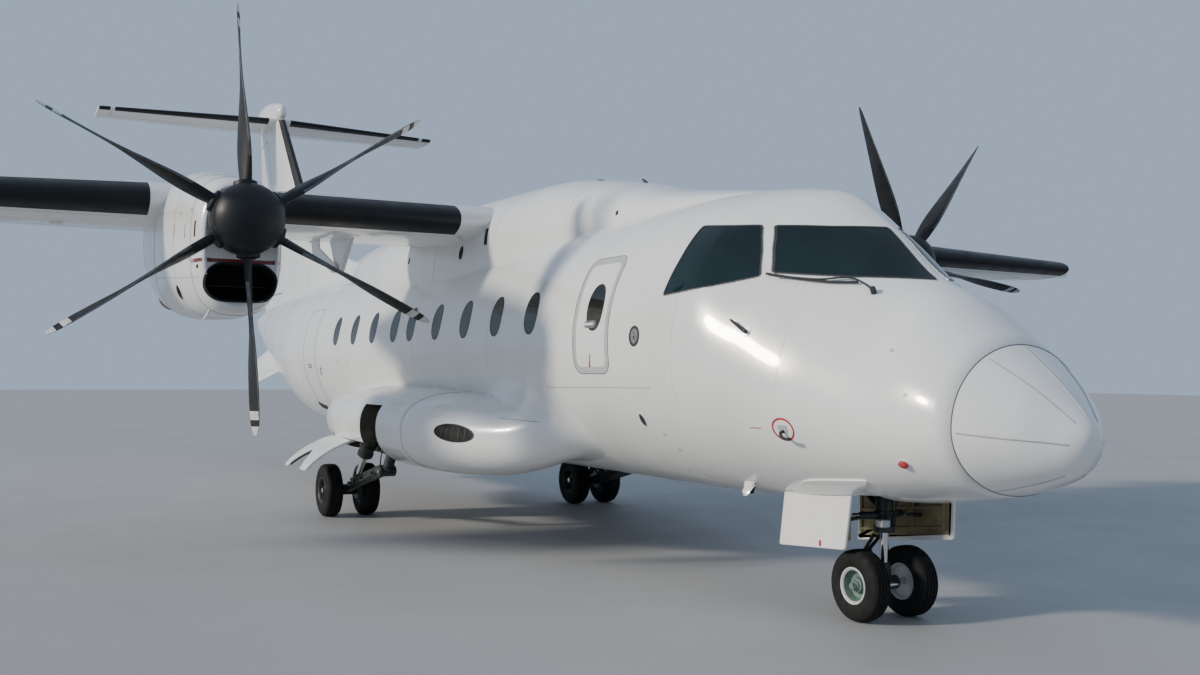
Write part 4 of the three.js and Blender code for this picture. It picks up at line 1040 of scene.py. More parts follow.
def make_control_surfaces():
    for side_name, side in SIDES.items():
        nose = ("nose", AILERON["hinge"], None)
        solid = wing.solid([(*AILERON["spans"], nose, None)])
        shell = Shell().add(sided(solid, side))
        for span in (7000, 7400, 7800, 8150):
            make_wick(shell, wing, span, side)
        piece = shell.piece(f"aileron_panel_{side_name}", [WHITE_PARTS, BOOT])
        dress(piece, f"aileron_{side_name}", "white", f"aileron_{side_name}")

        nose = ("nose", ELEVATOR["hinge"], None)
        horn, tip = ELEVATOR["horn"], ELEVATOR["spans"][1]
        solid = tailplane.solid([(ELEVATOR["spans"][0], horn, nose, None), (horn, tip, None, None)])
        shell = Shell().add(sided(solid, side))
        horn_boot = tailplane.solid([(horn + 30, tip - 12, None, ("wall", 0.1, 0))], grow=BOOT_PROUD)
        shell.add(sided(horn_boot, side), 1)
        for span in (1600, 2300, 2900, 3280):
            make_wick(shell, tailplane, span, side, 120)
        piece = shell.piece(f"elevator_panel_{side_name}", [WHITE_PARTS, BOOT])
        dress(piece, f"elevator_{side_name}", "white", f"elevator_{side_name}")

    shell = Shell().add(fin.solid([(*RUDDER["spans"], ("nose", RUDDER["hinge"], None), None)]))
    for span in (5300, 5800, 6250):
        make_wick(shell, fin, span, 1, 110)
    dress(shell.piece("rudder_panel", [WHITE_PARTS, BOOT]), "rudder", "white", "rudder")


# Fairings of the tail. Columns: back, half width, top, bottom
BULLET = [
    [19470, 40, 6930, 6790],
    [19560, 95, 7010, 6740],
    [19900, 150, 7110, 6690],
    [20400, 165, 7190, 6670],
    [21050, 120, 7233, 6740],
    [21480, 55, 7215, 6900],
]
SPINE = [
    [13600, 280, 3405],
    [14300, 130, 3450],
    [15020, 120, 3585],
    [15660, 130, 3790],
    [16700, 140, 4060],
    [17300, 120, 4060],
]
SPINE_FOOT = 2900
STRAKE = [[16980, 520, 1720], [18680, 360, 2120], [18750, 760, 1760], [17900, 760, 1480]]


def round_rings(table, backs, bend=1.0, y=0.0, sides=48):
    """Rings between a circle (bend 1) and a box. The columns are half width, top and bottom."""
    half, top, bottom = smooth_columns(table, backs)[-3:]
    angle = round_angles(sides)
    height = (top + bottom) / 2 + (top - bottom) / 2 * bent(np.sin(angle), bend)
    return at(np.asarray(backs)[:, None], y + half * bent(np.cos(angle), bend), height)


def make_tail():
    cove = ("cove", ELEVATOR["hinge"], RUN_GAP)
    start, end = ELEVATOR["spans"][0] - RUN_GAP, ELEVATOR["horn"] - RUN_GAP
    solid = tailplane.solid([(0, start, None, None), (start, end, None, cove)], both=True)
    dress(Shell().add(solid).piece("tailplane_skin", [WHITE_PARTS]), "airframe", "white", "tailplane")

    cove = ("cove", RUDDER["hinge"], RUN_GAP)
    start, end = RUDDER["spans"][0] - RUDDER["gaps"][0], RUDDER["spans"][1] + RUDDER["gaps"][1]
    segments = [(2900, start, None, None), (start, end, None, cove), (end, 6690, None, None)]
    shell = Shell().add(fin.solid(segments))
    angle = np.linspace(0, math.pi, 25)
    backs = filled([13600, 15020, 16700, 17300], 120)
    half, top = smooth_columns(SPINE, backs)
    level = SPINE_FOOT + (top - SPINE_FOOT) * np.sin(angle) ** 0.75
    shell.add(skinned(at(backs[:, None], half * bent(np.cos(angle), 1.25), level)))
    dress(shell.piece("fin_skin", [WHITE_PARTS]), "airframe", "white", "fin")

    nose = 19470 + 90 * np.linspace(0, 1, 6) ** 2
    backs = np.concatenate([nose, filled([19560, 20400, 21300], 70)[1:], [21400, 21450, 21472, 21480]])
    rings = round_rings(BULLET, backs)
    for k, scale in ((0, 0.35), (1, 0.7), (2, 0.88), (-3, 0.97), (-2, 0.85), (-1, 0.6)):
        rings[k] = shrunk(rings[k], scale)
    piece = Shell().add(skinned(rings)).piece("tail_bullet_shell", [WHITE_PARTS])
    dress(piece, "airframe", "white", "tail_bullet")

    for side_name, side in SIDES.items():
        corners = [Vector(at(b, side * y, z)) for b, y, z in STRAKE]
        across = (corners[2] - corners[0]).cross(corners[3] - corners[1]).normalized()
        outline = rounded_polygon([tuple(corner) for corner in corners], 0.07)
        rings = [shrunk(outline, scale) + off * np.array(across)
                 for off, scale in ((-0.008, 0.975), (-0.004, 1.0), (0.004, 1.0), (0.008, 0.975))]
        piece = Shell().add(skinned(rings)).piece(f"strake_plate_{side_name}", [WHITE_PARTS])
        dress(piece, "airframe", "white", f"strake_{side_name}")


# Fairings along the body. Hump columns: back, seam height, half width, top
HUMP = [
    [2980, 3080, 260, 3120],
    [3700, 3040, 500, 3215],
    [4300, 3020, 570, 3300],
    [5500, 2925, 745, 3540],
    [6440, 2795, 885, 3645],
    [8110, 2700, 966, 3655],
    [9600, 2700, 966, 3610],
    [11200, 2790, 880, 3540],
    [12600, 2960, 640, 3470],
    [13600, 3110, 290, 3412],
]
HUMP_BEND = 0.8
HUMP_FOOT = 150
# Pod columns: back, middle y, half width, top, bottom
POD = [
    [4900, 1000, 50, 1130, 1010],
    [5080, 1060, 210, 1270, 880],
    [5450, 1110, 400, 1370, 780],
    [6000, 1160, 560, 1440, 715],
    [6900, 1200, 640, 1490, 690],
    [8000, 1200, 640, 1530, 690],
    [8900, 1170, 600, 1530, 700],
    [9900, 1120, 540, 1470, 730],
    [11200, 1000, 360, 1380, 810],
    [12200, 880, 100, 1250, 1040],
]
POD_BEND = 0.85
WHEEL_BAY = {"backs": (7650, 10050), "ys": (1180, 1612), "roof": 1100}
LEG_BAY = {"backs": (7650, 8750), "roof": 1300}
BAY_MOUTH = {"backs": (7650, 8220), "y": 2200, "roof": 1340}
POD_SKIRT = 920


def make_hump():
    front = 2980 + 260 * np.linspace(0, 1, 7) ** 1.6
    middle = filled([3240, 3700, 5500, 8110, 9600, 11200, 13400], 150)
    backs = np.concatenate([front, middle[1:], [13480, 13540, 13580, 13600]])
    seam, half, top = smooth_columns(HUMP, backs)
    angle = np.linspace(0, math.pi, 49)
    lower = np.hstack([seam - HUMP_FOOT, seam - 0.5 * HUMP_FOOT])
    across = np.hstack([0.9 * half, 0.97 * half, half * bent(np.cos(angle), HUMP_BEND),
                        -0.97 * half, -0.9 * half])
    level = np.hstack([lower, seam + (top - seam) * np.sin(angle) ** HUMP_BEND, lower[:, ::-1]])
    piece = Shell().add(skinned(at(backs[:, None], across, level))).piece("wing_fairing_skin", [WHITE])
    dress(piece, "airframe", "white", "wing_fairing")
    return Skin(piece)


def pod_rings(backs, side, sides=96):
    middle, half, top, bottom = smooth_columns(POD, backs)
    angle = round_angles(sides)
    across = middle + half * bent(np.cos(angle), POD_BEND)
    height = (top + bottom) / 2 + (top - bottom) / 2 * bent(np.sin(angle), POD_BEND)
    return at(np.asarray(backs)[:, None], side * across, height)


def box_solid(backs, ys, zs):
    low = at(max(backs), min(ys), min(zs))
    high = at(min(backs), max(ys), max(zs))
    return block(tuple(low), tuple(high))


POD_SEAM = 6850
POD_FRONT = {"start": 4150, "pitch": 40, "centre": (450, 1400), "angles": (-88, 62), "rays": 112,
             "soft": 180, "fade": (6600, 5250), "inner": 60, "sunk": 7}


def outer_reach(ring, angles):
    """How far a closed ring of a section reaches from the centre of the rays, at each angle."""
    across, up = ring[:, 1] / MM - POD_FRONT["centre"][0], ring[:, 2] / MM - POD_FRONT["centre"][1]
    turn, reach = np.arctan2(up, across), np.hypot(across, up)
    best = np.zeros(len(angles))
    for a, b, ra, rb in zip(turn, np.roll(turn, -1), reach, np.roll(reach, -1)):
        if abs(b - a) > 1 or a == b:
            continue
        low, high = min(a, b), max(a, b)
        first, last = np.searchsorted(angles, low), np.searchsorted(angles, high)
        for k in range(first, last):
            best[k] = max(best[k], ra + (rb - ra) * (angles[k] - a) / (b - a))
    return best


def softened(grid, steps):
    """The grid blurred along both of its directions, by as many cells as steps says."""
    for axis, spread in enumerate(steps):
        count = int(3 * spread)
        weights = np.exp(-0.5 * (np.arange(-count, count + 1) / spread) ** 2)
        weights /= weights.sum()
        edge = [(count, count) if k == axis else (0, 0) for k in range(2)]
        padded = np.pad(grid, edge, mode="edge")
        grid = np.apply_along_axis(lambda row: np.convolve(row, weights, "valid"), axis, padded)
    return grid


def pod_front_rings(side):
    """Sections of the front of a pod, which grows softly out of the fuselage."""
    backs = filled([POD_FRONT["start"], POD_SEAM], POD_FRONT["pitch"])
    angles = np.radians(np.linspace(*POD_FRONT["angles"], POD_FRONT["rays"]))
    hull = np.array([outer_reach(ring, angles) for ring in fuselage_rings(backs, 0, 720)])
    pods = []
    for back in backs:
        if back <= POD[0][0]:
            pods.append(np.zeros(len(angles)))
        else:
            pods.append(outer_reach(pod_rings(np.array([back]), 1, 720)[0], angles))
    rise = np.maximum(np.array(pods) - hull, 0)
    arc = np.radians(POD_FRONT["angles"][1] - POD_FRONT["angles"][0]) / POD_FRONT["rays"] * 850
    soft = softened(rise, (POD_FRONT["soft"] / POD_FRONT["pitch"], POD_FRONT["soft"] / arc))
    share = np.clip((POD_FRONT["fade"][0] - backs) / (POD_FRONT["fade"][0] - POD_FRONT["fade"][1]), 0, 1)
    share = (share * share * (3 - 2 * share))[:, None]
    rise = rise * (1 - share) + soft * share
    rise = rise - POD_FRONT["sunk"] * np.clip(1 - rise / 14, 0, 1)
    rings = []
    for back, reach, low in zip(backs, hull + rise, hull - POD_FRONT["inner"]):
        turns = np.concatenate([angles, angles[::-1]])
        reach = np.concatenate([reach, low[::-1]])
        across = POD_FRONT["centre"][0] + reach * np.cos(turns)
        rings.append(at(back, side * across, POD_FRONT["centre"][1] + reach * np.sin(turns)))
    return rings if side < 0 else [ring[::-1] for ring in rings]


def make_pods():
    skins, fronts = {}, {}
    for side_name, side in SIDES.items():
        tail = 12200 - 500 * np.linspace(1, 0, 7) ** 1.7
        backs = np.concatenate([filled([POD_SEAM, 8900, 11700], 110), tail[1:]])
        rings = pod_rings(backs, side)
        rings[-1] = shrunk(rings[-1], 0.6)
        solid = skinned(rings if side > 0 else rings[:, ::-1])
        piece = Shell().add(solid).piece(f"gear_pod_shell_{side_name}", [WHITE_PARTS, BAY])
        skins[side_name] = Skin(piece)
        inside, outside = WHEEL_BAY["ys"]
        tools = [
            box_solid(WHEEL_BAY["backs"], (side * inside, side * outside), (300, WHEEL_BAY["roof"])),
            box_solid(LEG_BAY["backs"], (side * inside, side * outside), (300, LEG_BAY["roof"])),
            box_solid(BAY_MOUTH["backs"], (side * inside, side * BAY_MOUTH["y"]), (300, BAY_MOUTH["roof"])),
            box_solid(WHEEL_BAY["backs"], (side * inside, side * 2200), (400, POD_SKIRT)),
        ]
        cut_with(piece, [(tool, 1) for tool in tools])
        dress(piece, "airframe", "white", f"gear_pod_{side_name}")
        front = Shell().add(skinned(pod_front_rings(side)))
        front = front.piece(f"gear_pod_front_{side_name}", [WHITE_PARTS])
        fronts[side_name] = Skin(front)
        dress(front, "airframe", "white")
    return skins, fronts


# Engines. Nacelle columns: back, half width, top, bottom
PROP_BACK, PROP_Y, PROP_Z, PROP_TIP_R = 5655, 3610, 2950, 1800
SPINNER_R = 298
BLADE_PHASE_DEG = {"left": 111.6, "right": 93.1}
NACELLE = [
    [5830, 338, 3285, 2205],
    [5900, 352, 3312, 2188],
    [6080, 378, 3365, 2168],
    [6500, 430, 3440, 2158],
    [7080, 478, 3540, 2162],
    [7900, 462, 3570, 2256],
    [8700, 400, 3520, 2500],
    [9400, 310, 3440, 2800],
    [10000, 200, 3370, 2990],
    [10350, 80, 3330, 3120],
]
NACELLE_BEND = 0.72
INTAKE = {"ys": (3320, 3900), "zs": (2285, 2590), "radius": 150, "depth": 420}
EXHAUST_PIPE = {"from": (8250, 2600), "to": (9380, 2500), "r": 165, "end_r": 150, "wall": 14, "hollow": 350}
# Blade columns: radius, chord, thickness, twist in degrees
BLADE = [
    [250, 120, 84, -29],
    [430, 172, 66, -26],
    [650, 212, 50, -18],
    [900, 222, 40, -5],
    [1200, 208, 28, 8],
    [1500, 168, 18, 17],
    [1700, 122, 12, 23],
    [1800, 62, 8, 26],
]
TIP_BANDS = ((1594, 1667), (1722, 1799.5))
HUB = {"front": 85, "back": 150, "rear_r": 286}
COWL_SEAM_BACK = 6070
STRIPE_ZS = (2600, 2632)


def nacelle_solid(side):
    nose = NACELLE[0][0] + np.array([22, 6, 0, 3, 12, 30, 60])
    backs = np.concatenate([nose, filled([5900, 6500, 7900, 9400, 10280], 90)[1:], [10330, 10346, 10350]])
    rings = round_rings(NACELLE, backs, NACELLE_BEND, side * PROP_Y, 96)
    for k, wide, tall in ((0, 0.80, 0.86), (1, 0.855, 0.915), (2, 0.885, 0.94), (3, 0.905, 0.955),
                          (4, 0.935, 0.972), (5, 0.965, 0.985), (6, 0.99, 0.996), (-2, 0.9, 0.9),
                          (-1, 0.5, 0.5)):
        rings[k] = shrunk(rings[k], [1, wide, tall])
    return skinned(rings)


def make_nacelles():
    skins = {}
    for side_name, side in SIDES.items():
        piece = Shell().add(nacelle_solid(side)).piece(f"nacelle_shell_{side_name}", [WHITE_PARTS, SOOT_AND_SHADE, BAY])
        whole = Skin(piece)
        skins[side_name] = whole
        outer = VIEW_OF[side]
        low, high = sorted((side * INTAKE["ys"][0] * MM, side * INTAKE["ys"][1] * MM))
        zs = np.array(INTAKE["zs"]) * MM
        mouth = rounded_outline((low, zs[0]), (high, zs[1]), INTAKE["radius"] * MM, 10)
        lip = (DATUM_X - NACELLE[0][0]) * MM
        floor = lip - INTAKE["depth"] * MM
        port = oval(side_point(6560, 2379), 0.060, 0.065, count=32)
        # The intake walls take the nearly black finish: painted shade in the recess.
        cut_with(piece, [(plate(mouth, "x", floor, 5.2), 1), (panel(whole, port, outer, 0.03, 0.08, 4), 2)])
        dress(piece, "airframe", "white", f"nacelle_{side_name}")

        trim = Shell().add(band(whole, mouth, "front", 0.016, 0.005, 0.004))
        splitter = rounded_outline((low + 0.02, zs[0] + 0.12), (high - 0.02, zs[0] + 0.128), 0.003, 2)
        trim.add(plate(splitter, "x", floor + 0.01, lip - 0.15))
        dress(trim.piece(f"intake_lip_{side_name}", [PROP_BLACK]), "airframe", "boot")

        middle, half = side * PROP_Y * MM, 0.37
        low, high = (z * MM for z in STRIPE_ZS)
        stripe = Shell()
        flat = rounded_outline((middle - half, low), (middle + half, high), 0.002, 2)
        stripe.add(panel(whole, divided(flat, 0.04), "front", 0.0012, 0.003, 16))
        flat = rounded_outline(side_point(5990, STRIPE_ZS[0]), side_point(5846, STRIPE_ZS[1]), 0.002, 2)
        stripe.add(panel(whole, divided(flat, 0.04), outer, 0.0012, 0.003, 6))
        dress(stripe.piece(f"cowl_stripe_{side_name}", [MAROON]), "airframe", "white")

        start, end = (at(back, side * PROP_Y, z) for back, z in (EXHAUST_PIPE["from"], EXHAUST_PIPE["to"]))
        reach = float(np.linalg.norm(end - start))
        r, end_r, wall = (EXHAUST_PIPE[key] * MM for key in ("r", "end_r", "wall"))
        bore = reach - EXHAUST_PIPE["hollow"] * MM
        profile = [(0.0, 0.0), (r - 0.004, 0.0), (r, 0.004)]
        profile += [(r + (end_r - r) * s, reach * s) for s in (0.3, 0.5, 0.7, 0.72)]
        profile += [(end_r + 0.006, reach - 0.09), (end_r + 0.006, reach - 0.07), (end_r, reach - 0.06),
                    (end_r, reach - 0.004), (end_r - 0.004, reach), (end_r - wall + 0.002, reach),
                    (end_r - wall, reach - 0.003), (end_r - wall, bore), (0.0, bore)]
        points, faces = turned(profile, "z", (0, 0, 0), 64)
        inside = (points[:, 2] > bore - 0.001) & (np.hypot(*points[:, :2].T) < end_r - wall + 0.003)
        marks = [int(inside[face].all()) for face in faces]
        shell = Shell().add(aimed((points, faces), start, end), marks)
        piece = shell.piece(f"exhaust_pipe_{side_name}", [EXHAUST, SOOT_AND_SHADE])
        dress(piece, "airframe", "exhaust", f"exhaust_{side_name}")
    return skins


def blade_solid(extra=0.0, radii=None, part=None, one_face=False):
    """A blade along y, its thin sections from root to tip. Extra thickens it, on one face if asked;
    part is a share of the chord."""
    if radii is None:
        ends = PROP_TIP_R - np.array([38, 20, 8, 2, 0])
        radii = np.concatenate([filled([250, 430, PROP_TIP_R - 60], 42), ends])
    rings = []
    for r, (chord, thickness, twist) in zip(radii, np.hstack(smooth_columns(BLADE, radii))):
        low, high = part or (0.0, 1.0)
        s = low + (high - low) * (0.5 - 0.5 * np.cos(np.linspace(0, math.pi, 15)))
        shape = 1.35 * np.sqrt(s) * (1 - s) + 0.62 * s * (1 - s)
        shape = shape / 0.62
        upper, lower = 0.38 * shape, -0.46 * shape
        chord *= 1 - 0.35 * (max(0, r - (PROP_TIP_R - 60)) / 60) ** 2
        grow = extra / thickness
        u = np.concatenate([s, s[::-1][1:-1]]) - 0.5
        upper = -0.25 * shape if one_face else upper + grow
        v = np.concatenate([upper, (lower - grow)[::-1][1:-1]])
        turn = math.radians(twist)
        along, across = -u * chord, v * thickness
        forward = along * math.cos(turn) - across * math.sin(turn)
        sideways = along * math.sin(turn) + across * math.cos(turn)
        rings.append(np.column_stack([forward, np.full(len(u), r), sideways]) * MM)
    return skinned(rings)


def spun(solid, degrees, centre):
    """A solid turned about the x axis and moved to a centre."""
    points, faces = solid
    c, s = math.cos(math.radians(degrees)), math.sin(math.radians(degrees))
    x, y, z = points.T
    return np.column_stack([x, y * c - z * s, y * s + z * c]) + centre, faces


def make_propellers():
    front, back, rear_r = HUB["front"] * MM, HUB["back"] * MM, HUB["rear_r"] * MM
    ring_r = SPINNER_R * MM
    hub = [(0, -back), (rear_r - 0.006, -back), (rear_r, -back + 0.006), (ring_r - 0.003, -0.05),
           (ring_r, 0), (ring_r - 0.0008, 0.05), (ring_r - 0.0024, front - 0.004),
           (ring_r - 0.007, front), (0, front)]
    cuff = [(0, 0.258), (0.098, 0.258), (0.098, 0.306), (0.093, 0.318), (0.080, 0.321), (0.066, 0.326),
            (0.056, 0.332), (0, 0.332)]
    blade = [(blade_solid(), 1)]
    blade += [(blade_solid(0.5, np.linspace(*ends, 5), (0.02, 0.98), True), 2) for ends in TIP_BANDS]
    blade += [(blade_solid(0.6, np.linspace(520, 1640, 24), (0.0, 0.07)), 3),
              (turned(cuff, "y", (0, 0, 0), 32), 0)]
    for side_name, side in SIDES.items():
        centre = at(PROP_BACK, side * PROP_Y, PROP_Z)
        shell = Shell().add(turned(hub, "x", centre, 96))
        for k in range(6):
            for solid, mark in blade:
                shell.add(spun(solid, BLADE_PHASE_DEG[side_name] + 60 * k, centre), mark)
        finishes = [SPINNER_BLACK, PROP_BLACK, BLADE_WHITE, BLADE_EDGE]
        piece = shell.piece(f"propeller_blades_{side_name}", finishes)
        dress(piece, f"propeller_{side_name}", "propeller", f"propeller_{side_name}")

        reach, base = (SPINNER_R - 55) * MM, front + 0.0003
        wide = ring_r - 0.003
        profile = [(0, base), (wide - 0.004, base), (wide, base + 0.004)]
        for k in range(1, 24):
            angle = (math.pi / 2) * k / 24
            profile.append((wide * math.cos(angle), base + reach * math.sin(angle)))
            if k == 3:
                profile += [(wide * math.cos(angle) - 0.003, base + reach * math.sin(angle) + 0.001),
                            (wide * math.cos(angle + 0.02) - 0.002, base + reach * math.sin(angle + 0.02))]
        profile.append((0, base + reach))
        dome = Shell().add(turned(profile, "x", centre, 96))
        piece = dome.piece(f"spinner_dome_{side_name}", [SPINNER_BLACK])
        dress(piece, f"propeller_{side_name}", "propeller", f"spinner_{side_name}")


# Landing gear
MAIN_AXLE = (9380, 1610, 305)
NOSE_AXLE = (1956, 0, 247.5)
MAIN_WHEEL = {"r": 305, "half": 98, "rim": 150, "bore": 31, "offset": 220}
NOSE_WHEEL = {"r": 247.5, "half": 80, "rim": 122, "bore": 23, "offset": 215}
GEAR_DOOR = {"backs": (8900, 9850), "thick": 26, "notch": (9190, 9690), "deep": 290, "trim": 50}
GEAR_DOOR_ARC = [[1180.3, 880], [1400, 912], [1660, 919.5], [1870, 850], [2060, 745], [2200, 630],
                 [2270, 540]]
NOSE_DOORS = {
    "right": (-345, [[1860, 960], [2603, 900], [2675, 445], [1942, 499]]),
    "left": (345, [[1640, 980], [2610, 900], [2650, 440], [1650, 562]]),
}
NOSE_DOOR_THICK = 22
NOSE_DOOR_FAIRING = ((2678, -285), (1891, -318), (1490, -536), (2142, -557))


def tyre_solid(wheel, centre):
    """A tyre with a full round shoulder and grooves round its tread."""
    r, half, rim = (wheel[key] * MM for key in ("r", "half", "rim"))
    bead = rim - 0.008
    wall = [(bead, half - 0.030), (rim + 0.004, half - 0.016), (rim + 0.3 * (r - rim), half - 0.003),
            (rim + 0.5 * (r - rim), half), (rim + 0.7 * (r - rim), half - 0.005), (r - 0.022, half * 0.86),
            (r - 0.010, half * 0.74), (r - 0.004, half * 0.60)]
    tread = []
    for place in (0.52, 0.18):
        for step, drop in ((0.055, 0), (0.045, 0.006), (-0.045, 0.006), (-0.055, 0)):
            y = half * (place + step)
            tread.append((r - 0.009 * (y / half) ** 2 - drop, y))
    side = wall + tread
    outline = side + [(a, -b) for a, b in side[::-1]]
    outline.append(outline[0])
    return turned(outline, "y", centre, 96)


def rim_solid(wheel, centre, out):
    """A dished wheel disc. Out is the side its hollow faces."""
    half, rim, bore = (wheel[key] * MM for key in ("half", "rim", "bore"))
    outline = [
        (bore, -half * 0.45), (rim * 0.5, -half * 0.45), (rim * 0.86, -half * 0.52),
        (rim - 0.006, -half + 0.016), (rim + 0.006, -half + 0.010), (rim + 0.006, -half + 0.018),
        (rim - 0.006, -half + 0.034), (rim - 0.009, 0.0), (rim - 0.006, half - 0.034),
        (rim + 0.006, half - 0.018), (rim + 0.006, half - 0.010), (rim + 0.001, half - 0.007),
        (rim - 0.008, half - 0.011), (rim - 0.016, half - 0.022), (rim * 0.80, half * 0.30),
        (rim * 0.74, half * 0.10), (rim * 0.52, half * 0.06), (rim * 0.46, half * 0.14),
        (rim * 0.40, half * 0.42), (rim * 0.34, half * 0.46), (bore, half * 0.46),
    ]
    outline = [(r, y * out) for r, y in outline]
    outline.append(outline[0])
    points, faces = turned(outline, "y", centre, 64)
    row = len(outline) - 1
    marks = [1 if 13 <= (k // 64) <= row - 1 else 0 for k in range(len(faces))]
    return (points, faces), marks


def make_wheels():
    sets = []
    for side_name, side in SIDES.items():
        for name, way in (("inner", -1), ("outer", 1)):
            centre = at(MAIN_AXLE[0], side * (MAIN_AXLE[1] + way * MAIN_WHEEL["offset"]), MAIN_AXLE[2])
            sets.append((f"main_wheel_{name}_{side_name}", MAIN_WHEEL, centre, side * way,
                         f"main_wheels_{side_name}"))
        centre = at(NOSE_AXLE[0], side * NOSE_WHEEL["offset"], NOSE_AXLE[2])
        sets.append((f"nose_wheel_{side_name}", NOSE_WHEEL, centre, side, "nose_wheels"))
    for name, wheel, centre, out, body in sets:
        shell = Shell().add(tyre_solid(wheel, centre))
        disc, marks = rim_solid(wheel, centre, out)
        shell.add(disc, [1 + mark for mark in marks])
        rim, half = wheel["rim"] * MM, wheel["half"] * MM
        cap = [(0, 0.30), (0.33, 0.30), (0.35, 0.34), (0.35, 0.60), (0.30, 0.68), (0.12, 0.70),
               (0.10, 0.80), (0, 0.80)]
        profile = [(a * rim * 0.85, out * b * half * 0.9) for a, b in cap]
        shell.add(turned(profile, "y", centre, 32), 2)
        valve = centre + [rim * 0.62, out * half * 0.10, 0.0]
        shell.add(rod(valve, valve + [0.004, out * 0.022, 0], 0.005, 10), 3)
        # The main wheels' rims and dishes take the dark gear finish; the nose wheels' are white and
        # green-grey.
        flange, dish = (RIM_WHITE, RIM_GREEN) if wheel is NOSE_WHEEL else (GEAR, GEAR)
        piece = shell.piece(name + "_assembly", [TYRE, flange, dish, BARE_METAL])
        dress(piece, body, "tyre", name)


def make_main_legs():
    for side_name, side in SIDES.items():
        def p(back, y, z):
            return at(back, side * y, z)
        shell = Shell()
        for back, y in ((7900, 1440), (8560, 1480)):
            shell.add(block(p(back + 88, y - 78, 1150), p(back - 88, y + 78, 1299), 0.012))
            shell.add(rod(p(back + 96, y, 1215), p(back - 96, y, 1215), 0.036, 24), 1)
        top, foot = p(7900, 1440, 1250), p(8010, 1590, 620)
        shell.add(rod(top, foot, 0.066, 32, 0.056, 0.004))
        for share, r in ((0.12, 0.078), (0.52, 0.070), (0.93, 0.072)):
            shell.add(rod(slanted(top, foot, share), slanted(top, foot, share + 0.05), r, 32, bevel=0.004))
        shell.add(rod(p(8010, 1500, 620), p(8010, 1680, 620), 0.058, 28, bevel=0.006))
        shell.add(rod(p(8010, 1486, 620), p(8010, 1694, 620), 0.026, 20), 1)
        axle = p(*MAIN_AXLE)
        arm = [foot, slanted(foot, axle, 0.5) + [0, 0, 0.008], axle]
        shell.add(pipe(arm, 0.043, 28, 10))
        rib = slanted(foot, axle, 0.5)
        ahead = np.asarray(axle) - np.asarray(foot)
        ahead /= np.linalg.norm(ahead)
        across = np.array([0.0, 1.0, 0.0])
        up = np.cross(ahead, across) * side
        up = up / np.linalg.norm(up)
        ring = []
        for along, tall in ((-0.62, 0.0), (-0.5, 0.052), (0.28, 0.052), (0.55, 0.0)):
            centre = rib + ahead * along
            corners = ((-0.012, -0.02), (0.012, -0.02), (0.012, 0.05 + tall), (-0.012, 0.05 + tall))
            ring.append(np.array([centre + across * w + up * h for w, h in corners]))
        shell.add(skinned(ring))
        high, low = p(8560, 1490, 1250), p(9060, 1605, 440)
        shell.add(rod(high, slanted(high, low, 0.60), 0.092, 36, 0.082, 0.010))
        for share, wide in ((0.10, 0.104), (0.30, 0.100), (0.47, 0.096)):
            shell.add(rod(slanted(high, low, share), slanted(high, low, share + 0.05), wide, 36, bevel=0.006))
        for share, out in ((0.22, 0.105), (0.40, -0.100)):
            spot = slanted(high, low, share) + [0.02, side * out, 0]
            shell.add(block(spot - [0.062, 0.034, 0.085], spot + [0.062, 0.034, 0.085], 0.008))
            shell.add(rod(spot - [0, 0, 0.13], spot - [0, 0, 0.08], 0.016, 16), 3)
        shell.add(rod(slanted(high, low, 0.58), slanted(high, low, 0.64), 0.090, 32, bevel=0.006))
        shell.add(rod(slanted(high, low, 0.60), slanted(high, low, 0.93), 0.037, 28), 1)
        shell.add(rod(slanted(high, low, 0.90), slanted(high, low, 1.0), 0.047, 28, bevel=0.006))
        shell.add(rod(p(9060, 1540, 440), p(9060, 1670, 440), 0.030, 20), 1)
        shell.add(rod(p(8010, 1470, 1180), p(8520, 1490, 1180), 0.033, 20))
        back, y, z = MAIN_AXLE
        shell.add(rod(p(back, y - 95, z), p(back, y + 95, z), 0.062, 36, bevel=0.008))
        shell.add(rod(p(back, y - 304, z), p(back, y + 304, z), 0.0295, 28), 1)
        for way in (-1, 1):
            drum = [(0.035, 0.096), (0.112, 0.096), (0.116, 0.100), (0.116, 0.104), (0.104, 0.108),
                    (0.104, 0.128), (0.116, 0.132), (0.116, 0.148), (0.112, 0.152), (0.035, 0.152)]
            drum = [(r, way * along) for r, along in (*drum, drum[0])]
            shell.add(turned(drum, "y", axle, 48), 2)
            hose = [p(9060, 1605 + way * 40, 400), p(9180, 1605 + way * 85, 330),
                    p(9280, 1610 + way * 105, 330), p(9310, 1610 + way * 112, 350)]
            shell.add(pipe(hose, 0.008, 10), 3)
        for line in ([(8030, 1655, 640), (8400, 1668, 540), (8800, 1670, 440), (9100, 1665, 370),
                      (9330, 1690, 350)],
                     [(7900, 1530, 1180), (7960, 1610, 950), (8010, 1660, 760), (8030, 1655, 640)]):
            shell.add(pipe([p(*point) for point in line], 0.007, 10), 3)
        for share in (0.2, 0.5, 0.8):
            spot = slanted(p(8030, 1650, 640), p(9330, 1680, 350), share)
            shell.add(block(spot - [0.018, 0.03, 0.014], spot + [0.018, 0.014, 0.014], 0.003))
        shell.add(rod(p(7760, 1230, 1090), p(7980, 1530, 800), 0.020, 16))
        shell.add(rod(p(8250, 1300, 1170), p(8480, 1450, 1170), 0.028, 20))
        shell.add(rod(p(8180, 1260, 1170), p(8260, 1306, 1170), 0.040, 20), 1)
        piece = shell.piece(f"main_leg_parts_{side_name}", [GEAR, STEEL, RIM_GREEN, SEAL])
        dress(piece, "airframe", "gear", f"main_leg_{side_name}")


